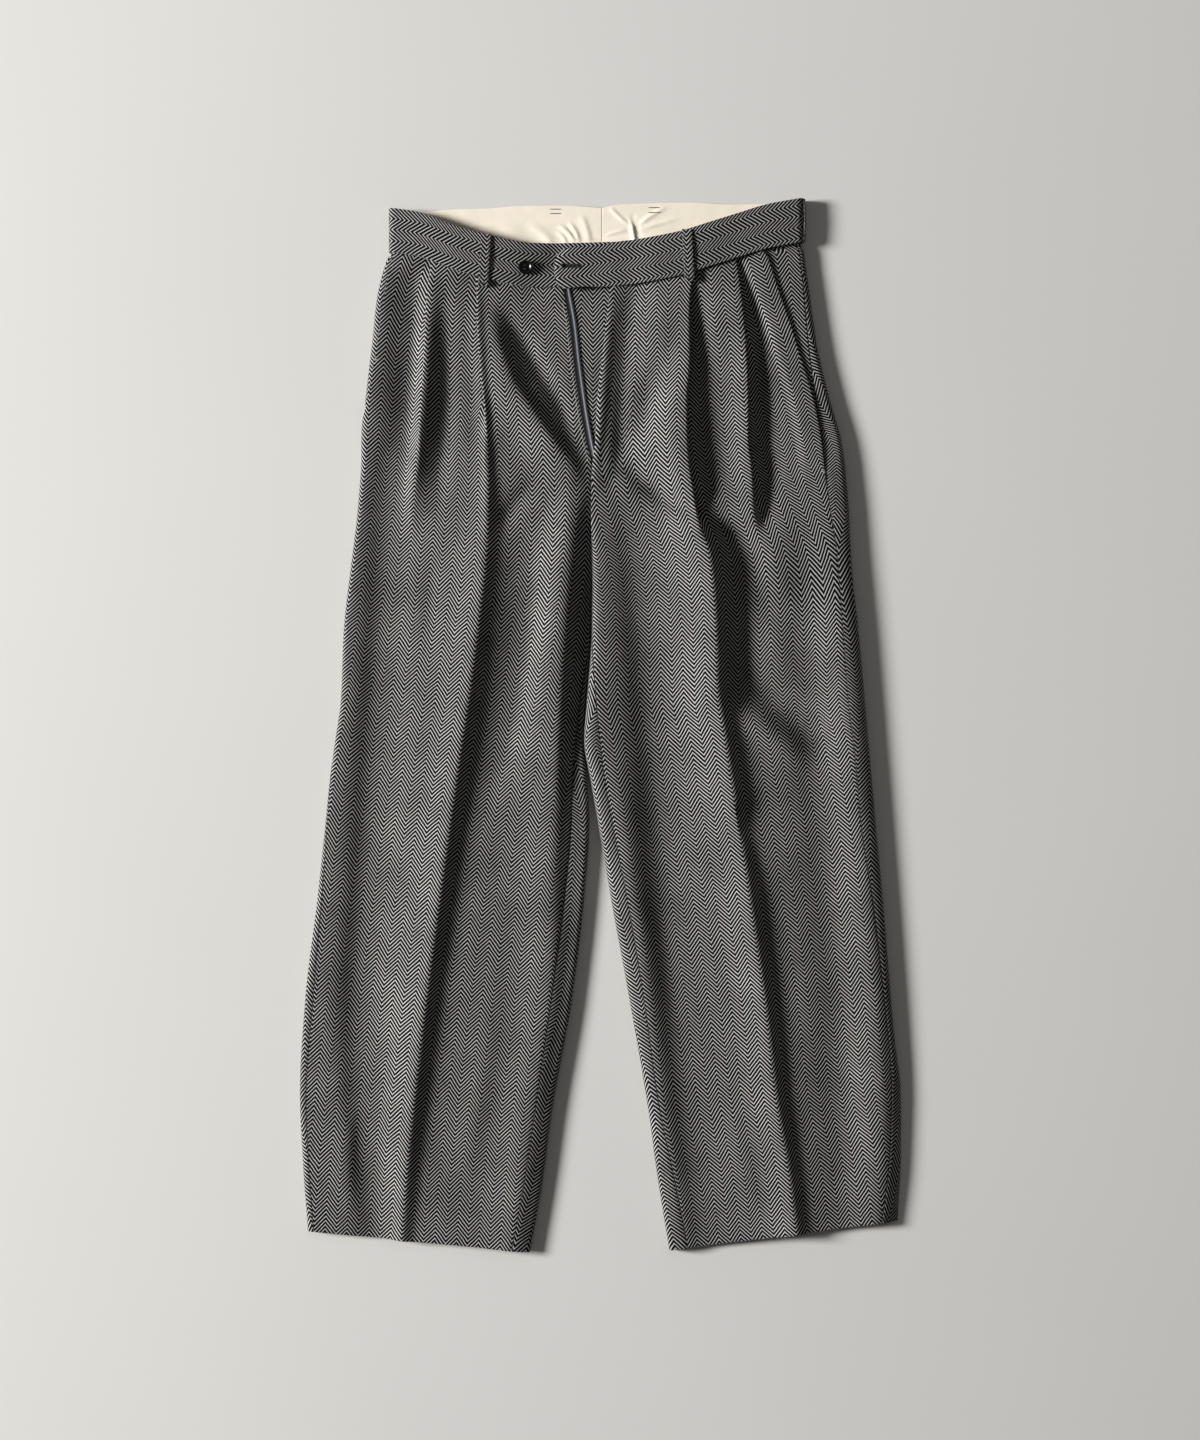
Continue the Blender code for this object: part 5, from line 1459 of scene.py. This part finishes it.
def front_loop(half):
    """Front belt loop: a strip that leans a little and stands off the waistband by half a sine wave,
    down to where it is sewn to the front."""
    middle = FRONT_LOOPS[half]
    top = float(top_edge(half, middle)) + LOOP_INSET
    clear = BAND_WALL / 2 + SEAM + LOOP_WALL / 2

    def shape(across, share):
        outs = middle + across + LOOP_LEAN * (share - 0.5)
        bulge = LOOP_BULGE * np.sin(math.pi * np.minimum(share / LOOP_SEWN, 1.0))
        return to_space(half, outs, top + share * LOOP_LENGTH, band_height(half, outs) + clear + bulge)
    return loop_strip(f"{half}_front_belt_loop", f"belt_loop_front_{half}", "front", shape)


def under_loop(name, node, half, middle):
    """Belt loop on the underside of the waistband: a level strip on the floor."""
    top = float(back_edge(half, middle)) + LOOP_INSET

    def shape(across, share):
        return to_space(half, middle + across, top + share * LOOP_LENGTH, LOOP_WALL / 2)
    return loop_strip(name, node, "under", shape)


def side_loop(half):
    """Belt loop edge-on at the side fold of the waistband: an arc about the fold's middle, whose
    radius grows by half a sine wave between its ends."""
    fold = BAND_FOLD[half] - BAND_WALL / 2
    radius = (float(band_height(half, fold)) - BAND_BACK) / 2
    clear = radius + BAND_WALL / 2 + SEAM + LOOP_WALL / 2
    length = BAND_HEIGHT - 2 * LOOP_INSET
    top = float(top_edge(half, BAND_FOLD[half])) + LOOP_INSET

    def shape(across, share):
        angles = across / clear
        reach = clear + LOOP_BULGE * np.sin(math.pi * share)
        return to_space(half, fold - radius + reach * np.cos(angles), top + share * length,
                        BAND_BACK + radius + reach * np.sin(angles))
    return loop_strip(f"{half}_side_belt_loop", f"belt_loop_side_{half}", "side", shape, length)


def fly_shield():
    """Cloth shield behind the zip, sewn to the wearer's right: level, and ruled straight across
    between its two edges."""
    rows, columns = SHIELD_GRID
    downs = np.linspace(SHIELD[0][0], SHIELD[-1][0], rows)[:, None]
    first, last = (column(SHIELD, SHIELD_COLUMNS, name, downs) for name in SHIELD_COLUMNS[1:])
    outs = first + (last - first) * np.linspace(0, 1, columns)
    return cloth("wool_fly_shield", "fly_shield", to_space("right", outs, downs, SHIELD_Z),
                 pairs(outs, downs), *PANEL_CUT["fly_shield"])


def fly_line(half):
    """The fly edge of one front: real downs, and outs."""
    rows = np.linspace(WAIST, FLY_FOOT, FLY_POINTS)
    outs = np.array([plan(half, "centre", row) for row in rows])
    return down_at(half, outs, rows), outs


def zip_tape(half):
    """Zip tape under the edge of one front: level, and each row runs across from the fly line. Half
    its width shows on the wearer's right."""
    rows, columns = TAPE_GRID
    downs = np.linspace(TAPE_TOP[half], TAPE_FOOT, rows)[:, None]
    edge = np.interp(downs, *fly_line(half))
    outs = edge - TAPE_SHOWN[half] + np.linspace(0, 1, columns) * TAPE_WIDTH
    return cloth(f"{half}_zip_tape", f"zip_tape_{half}", to_space(half, outs, downs, TAPE_Z[half]),
                 pairs(outs - edge, downs), (TAPE_WIDTH * MM, (TAPE_FOOT - TAPE_TOP[half]) * MM),
                 maker=zip_tape_cloth)


# Sewing

def top_of(*names):
    """Finds the height of the named cloths' upper faces, in metres, by looking straight down."""
    graph = bpy.context.evaluated_depsgraph_get()
    graph.update()
    trees = [BVHTree.FromObject(bpy.data.objects[name], graph) for name in names]

    def height_at(x, y):
        hits = [tree.ray_cast(Vector((x, y, 0.2)), Vector((0, 0, -1)))[0] for tree in trees]
        return max((hit.z for hit in hits if hit is not None), default=0.01)
    return height_at


def threads(name, starts, ends, thick, maker, slot, flat=0.55):
    """Short threads from starts to ends, in metres: each is a bar whose six-sided section swells
    from its ends as a half circle does, and is pressed flat by "flat"."""
    starts, ends = np.asarray(starts, float), np.asarray(ends, float)
    count = len(starts)
    run = ends - starts
    size = np.linalg.norm(run, axis=1, keepdims=True)
    forward = run / size
    aside = np.cross(forward, [0.0, 0.0, 1.0])
    aside /= np.linalg.norm(aside, axis=1, keepdims=True)
    above = np.cross(aside, forward)
    shares = np.array([0.0, 0.12, 0.35, 0.65, 0.88, 1.0])
    swell = np.sqrt(np.clip(1 - (2 * shares - 1) ** 4, 0.0004, 1))
    turns = np.arange(6) * math.pi / 3
    ring = np.stack([np.cos(turns), np.sin(turns) * flat], axis=1) * thick * MM / 2
    along = starts[:, None, None] + shares[None, :, None, None] * run[:, None, None]
    off = swell[None, :, None, None] * (ring[None, None, :, 0:1] * aside[:, None, None]
                                        + ring[None, None, :, 1:2] * above[:, None, None])
    points = (along + off).reshape(-1, 3)
    rows, sides = len(shares), len(turns)
    index = np.arange(rows * sides).reshape(rows, sides)
    after = np.roll(index, -1, axis=1)
    quads = np.stack([index[:-1], after[:-1], after[1:], index[1:]], axis=-1).reshape(-1, 4)
    faces = (quads[None] + rows * sides * np.arange(count)[:, None, None]).reshape(-1, 4).tolist()
    for end in (index[0][::-1], index[-1]):
        faces += (end[None] + rows * sides * np.arange(count)[:, None]).tolist()
    mesh = bpy.data.meshes.new(name)
    mesh.from_pydata(points.tolist(), [], faces)
    mesh.materials.append(finish(maker))
    mesh.shade_smooth()
    bm = bmesh.new()
    bm.from_mesh(mesh)
    bmesh.ops.recalc_face_normals(bm, faces=bm.faces)
    bm.to_mesh(mesh)
    bm.free()
    return piece(name, mesh)


def on_cloth(half, outs, downs, height_at, lift, beside=None):
    """Points in metres that lie "lift" millimetres over a cloth, whose height is looked up there, or
    "beside", at other outs and downs."""
    place = to_space(half, outs, downs, 0.0)[:, :2]
    look = place if beside is None else to_space(half, *beside, 0.0)[:, :2]
    return np.column_stack([place, np.array([height_at(x, y) for x, y in look]) + lift * MM])


def seam_stitches(name, half, line, kind, height_at, maker):
    """Stitches in a row along a smooth line of (down, out) points, a step apart, on the cloth."""
    length, step, thick = STITCH[kind]
    line = np.array(line, float)
    run = lengths(line)
    places = np.arange(step, run[-1] - length, step)
    ends = []
    for reach in (places, places + length):
        downs, outs = (curve(reach, run, line[:, i]) for i in (0, 1))
        ends.append(on_cloth(half, outs, downs, height_at, thick * STITCH_UP))
    return threads(name, *ends, thick, maker, "wool_cloth")


def tack(name, half, down, out, length, slant, height_at, maker):
    """A bar tack: close straight threads side by side across a short bar."""
    turn = math.radians(slant)
    along = np.linspace(-0.5, 0.5, TACK_THREADS) * length
    middle_out, middle_down = out + along * math.sin(turn), down + along * math.cos(turn)
    ends = [on_cloth(half, middle_out + side * math.cos(turn), middle_down - side * math.sin(turn),
                     height_at, TACK_UP) for side in (-TACK_HALF, TACK_HALF)]
    return threads(name, *ends, TACK_THREAD, maker, "wool_cloth")


def buttonhole_stitches():
    """Close threads square to the edge of the buttonhole, round the circle of its eye and along both
    sides of its slit."""
    turns = np.linspace(EYE_OPEN, 2 * math.pi - EYE_OPEN, EYE_STITCHES)
    around = pairs(np.cos(turns), np.sin(turns))
    run = np.arange(EYE_OUT + EYE_RADIUS, EYE_OUT + SLIT_LENGTH, SLIT_STEP)
    sides = [pairs(run, EYE_DOWN + side * SLIT_WIDTH / 2) for side in (-1, 1)]
    edge = np.concatenate([(EYE_OUT, EYE_DOWN) + EYE_RADIUS * around, *sides])
    off = np.concatenate([around, *(np.tile([0.0, side], (len(run), 1)) for side in (-1, 1))])
    height_at = top_of("left_waistband")
    ends = [on_cloth("left", *(edge + off * reach).T, height_at, TACK_UP, beside=(edge + off).T)
            for reach in (0.0, HOLE_STITCH)]
    threads("buttonhole_stitches", *ends, HOLE_THREAD, dark_thread, "wool_cloth")


def loop_edges(half, height_at):
    """Edge stitches down both sides of a front belt loop, and the bar that holds its lower end."""
    middle = FRONT_LOOPS[half]
    top = float(top_edge(half, middle)) + LOOP_INSET
    share = np.linspace(0.04, 0.96, 9)
    for side, word in ((-1, "inner"), (1, "outer")):
        outs = middle + side * (LOOP_WIDTH / 2 - LOOP_EDGE_INSET) + LOOP_LEAN * (share - 0.5)
        seam_stitches(f"{half}_loop_{word}_stitches", half, pairs(top + share * LOOP_LENGTH, outs),
                      "fly_edge_stitches", height_at, dark_thread)
    tack(f"{half}_loop_foot_tack", half, top + LOOP_LENGTH - LOOP_TACK_INSET, middle + LOOP_LEAN / 2,
         LOOP_WIDTH - LOOP_TACK_INSET, 90.0, height_at, dark_thread)


def button_thread():
    """Two strands of black thread straight across from hole to hole of the button, in its dish."""
    low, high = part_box("waist_button")
    middle = (Vector(low) + Vector(high)) / 2
    level = high[2] - (BUTTON_DISH - BUTTON_THREAD_UP) * MM
    off = BUTTON_HOLE_OFF * MM
    starts, ends = ([(middle.x + way * off, middle.y + side * off, level) for side in (-1, 1)]
                    for way in (-1, 1))
    threads("button_thread", starts, ends, BUTTON_THREAD, dark_thread, "button_plastic", flat=0.8)


# Operators

class TrousersOperator(bpy.types.Operator):
    """Shared ground of the trousers' operators."""

    bl_options = {"REGISTER", "UNDO"}


class TROUSERS_OT_panels(TrousersOperator):
    """Make the fronts and backs of both legs"""

    bl_idname = "trousers.panels"
    bl_label = "Fronts and backs"

    def execute(self, context):
        for half in ("right", "left"):
            front(half)
            back(half)
        return {"FINISHED"}


class TROUSERS_OT_pockets(TrousersOperator):
    """Make the pocket facings"""

    bl_idname = "trousers.pockets"
    bl_label = "Pockets"

    def execute(self, context):
        for half in ("right", "left"):
            facing(half)
        return {"FINISHED"}


class TROUSERS_OT_waistband(TrousersOperator):
    """Make the waistband and its lining"""

    bl_idname = "trousers.waistband"
    bl_label = "Waistband"

    def execute(self, context):
        for half in ("right", "left"):
            waistband(half)
            lining(half)
        return {"FINISHED"}


class TROUSERS_OT_belt_loops(TrousersOperator):
    """Make the six belt loops"""

    bl_idname = "trousers.belt_loops"
    bl_label = "Belt loops"

    def execute(self, context):
        for half in ("right", "left"):
            front_loop(half)
            under_loop(f"{half}_back_belt_loop", f"belt_loop_back_{half}", half, BACK_LOOPS[half])
        side_loop("left")
        under_loop("right_side_belt_loop", "belt_loop_side_right", "right", SIDE_LOOP_UNDER)
        return {"FINISHED"}


class TROUSERS_OT_fly(TrousersOperator):
    """Make the fly shield and the zip"""

    bl_idname = "trousers.fly"
    bl_label = "Fly and zip"

    def execute(self, context):
        fly_shield()
        for half in ("right", "left"):
            zip_tape(half)
        paint_node("zip_slider", nickel)
        return {"FINISHED"}


class TROUSERS_OT_button(TrousersOperator):
    """Finish the waist button"""

    bl_idname = "trousers.button"
    bl_label = "Button"

    def execute(self, context):
        paint_node("waist_button", polished_button)
        return {"FINISHED"}


def paint_node(node, maker):
    """Gives a carried-over solid its own finish."""
    made = bpy.data.objects[node]
    if not made.material_slots:
        made.data.materials.append(finish(maker))
    for held in made.material_slots:
        held.material = finish(maker)


class TROUSERS_OT_sewing(TrousersOperator):
    """Make the stitches and bar tacks"""

    bl_idname = "trousers.sewing"
    bl_label = "Sewing"

    def execute(self, context):
        for half, lines in SEAM_LINES.items():
            height_at = top_of(f"{half}_front", f"{half}_back", f"{half}_pocket_facing")
            for kind, line in lines.items():
                maker = dark_thread if kind.startswith("fly") else light_thread
                seam_stitches(f"{half}_{kind}", half, line, kind, height_at, maker)
            loop_edges(half, top_of(f"{half}_front_belt_loop"))
        downs, outs = fly_line("right")
        line = pairs(downs, outs + FLY_EDGE_INSET)[4::6]
        seam_stitches("fly_edge_stitches", "right", line, "fly_edge_stitches", top_of("right_front"),
                      light_thread)
        for name, (half, down, out, length, slant) in TACKS.items():
            height_at = top_of(f"{half}_front", f"{half}_back")
            tack(name, half, down, out, length, slant, height_at, light_thread)
        for half, outs, downs in LINING_TACKS:
            height_at = top_of(f"{half}_waistband_lining")
            starts, ends = (to_space(half, np.full(2, out), np.array(downs), np.zeros(2)) for out in outs)
            for start, end in zip(starts, ends):
                ways = np.linspace(0, 1, 5)[:, None]
                start[2] = end[2] = max(height_at(x, y) for x, y in (start + (end - start) * ways)[:, :2])
            threads(f"{half}_lining_tacks", starts, ends, LINING_TACK_THREAD, dark_thread, "cotton_lining")
        buttonhole_stitches()
        button_thread()
        return {"FINISHED"}


class TROUSERS_OT_stage(TrousersOperator):
    """Set the floor, the lights and the camera"""

    bl_idname = "trousers.stage"
    bl_label = "Stage"

    def execute(self, context):
        stage = settings().stage
        scene = context.scene
        mesh = bpy.data.meshes.new("floor")
        corners = ((-1, -1), (1, -1), (1, 1), (-1, 1))
        mesh.from_pydata([(x * FLOOR_REACH, y * FLOOR_REACH, 0) for x, y in corners], [], [(0, 1, 2, 3)])
        floor = bpy.data.objects.new("floor", mesh)
        mesh.materials.append(finish(floor_paint))
        scene.collection.objects.link(floor)
        world = bpy.data.worlds.new("studio")
        world.use_nodes = True
        background = world.node_tree.nodes["Background"]
        background.inputs["Color"].default_value = colour("#f4f3f1")
        background.inputs["Strength"].default_value = stage.fill
        scene.world = world
        for name, (place, size, share) in LIGHTS.items():
            data = bpy.data.lights.new(name, "AREA")
            data.shape = "DISK"
            data.size = size
            data.energy = stage.key * share
            lamp = bpy.data.objects.new(name, data)
            lamp.location = place
            lamp.rotation_euler = (-Vector(place)).to_track_quat("-Z", "Y").to_euler()
            scene.collection.objects.link(lamp)
        data = bpy.data.cameras.new("camera")
        data.lens = data.sensor_width * stage.height / VIEW_SIDE
        data.clip_end = VIEW_END
        camera = bpy.data.objects.new("camera", data)
        camera.location = (*CAMERA_OFF, stage.height + CLOTH_LEVEL)
        scene.collection.objects.link(camera)
        scene.camera = camera
        scene.view_settings.view_transform = "Standard"
        scene.view_settings.look = "Medium High Contrast"
        return {"FINISHED"}


class TROUSERS_PT_sidebar(bpy.types.Panel):
    """Trousers in the 3D view's sidebar"""

    bl_label = "Trousers"
    bl_idname = "TROUSERS_PT_sidebar"
    bl_space_type = "VIEW_3D"
    bl_region_type = "UI"
    bl_category = "Trousers"

    def draw(self, context):
        held = context.scene.trousers
        for group in (held.cloth, held.trim, held.stage):
            box = self.layout.box()
            for name in group.__annotations__:
                box.prop(group, name)
        for operator in STEPS:
            self.layout.operator(operator.bl_idname)


STEPS = (TROUSERS_OT_stage, TROUSERS_OT_panels, TROUSERS_OT_pockets, TROUSERS_OT_waistband,
         TROUSERS_OT_belt_loops, TROUSERS_OT_fly, TROUSERS_OT_button, TROUSERS_OT_sewing)
CLASSES = (TrousersCloth, TrousersTrim, TrousersStage, TrousersSettings, *STEPS, TROUSERS_PT_sidebar)


def register():
    """Registers the classes and puts their settings on the scene."""
    for held in CLASSES:
        bpy.utils.register_class(held)
    bpy.types.Scene.trousers = PointerProperty(type=TrousersSettings, name="Trousers",
                                               description="Sizes and colours of the trousers")


def unregister():
    """Takes the settings and the classes away again."""
    del bpy.types.Scene.trousers
    for held in reversed(CLASSES):
        bpy.utils.unregister_class(held)


def main():
    """Registers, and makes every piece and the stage."""
    register()
    for step in STEPS:
        group, name = step.bl_idname.split(".")
        getattr(getattr(bpy.ops, group), name)()


if __name__ == "__main__":
    main()
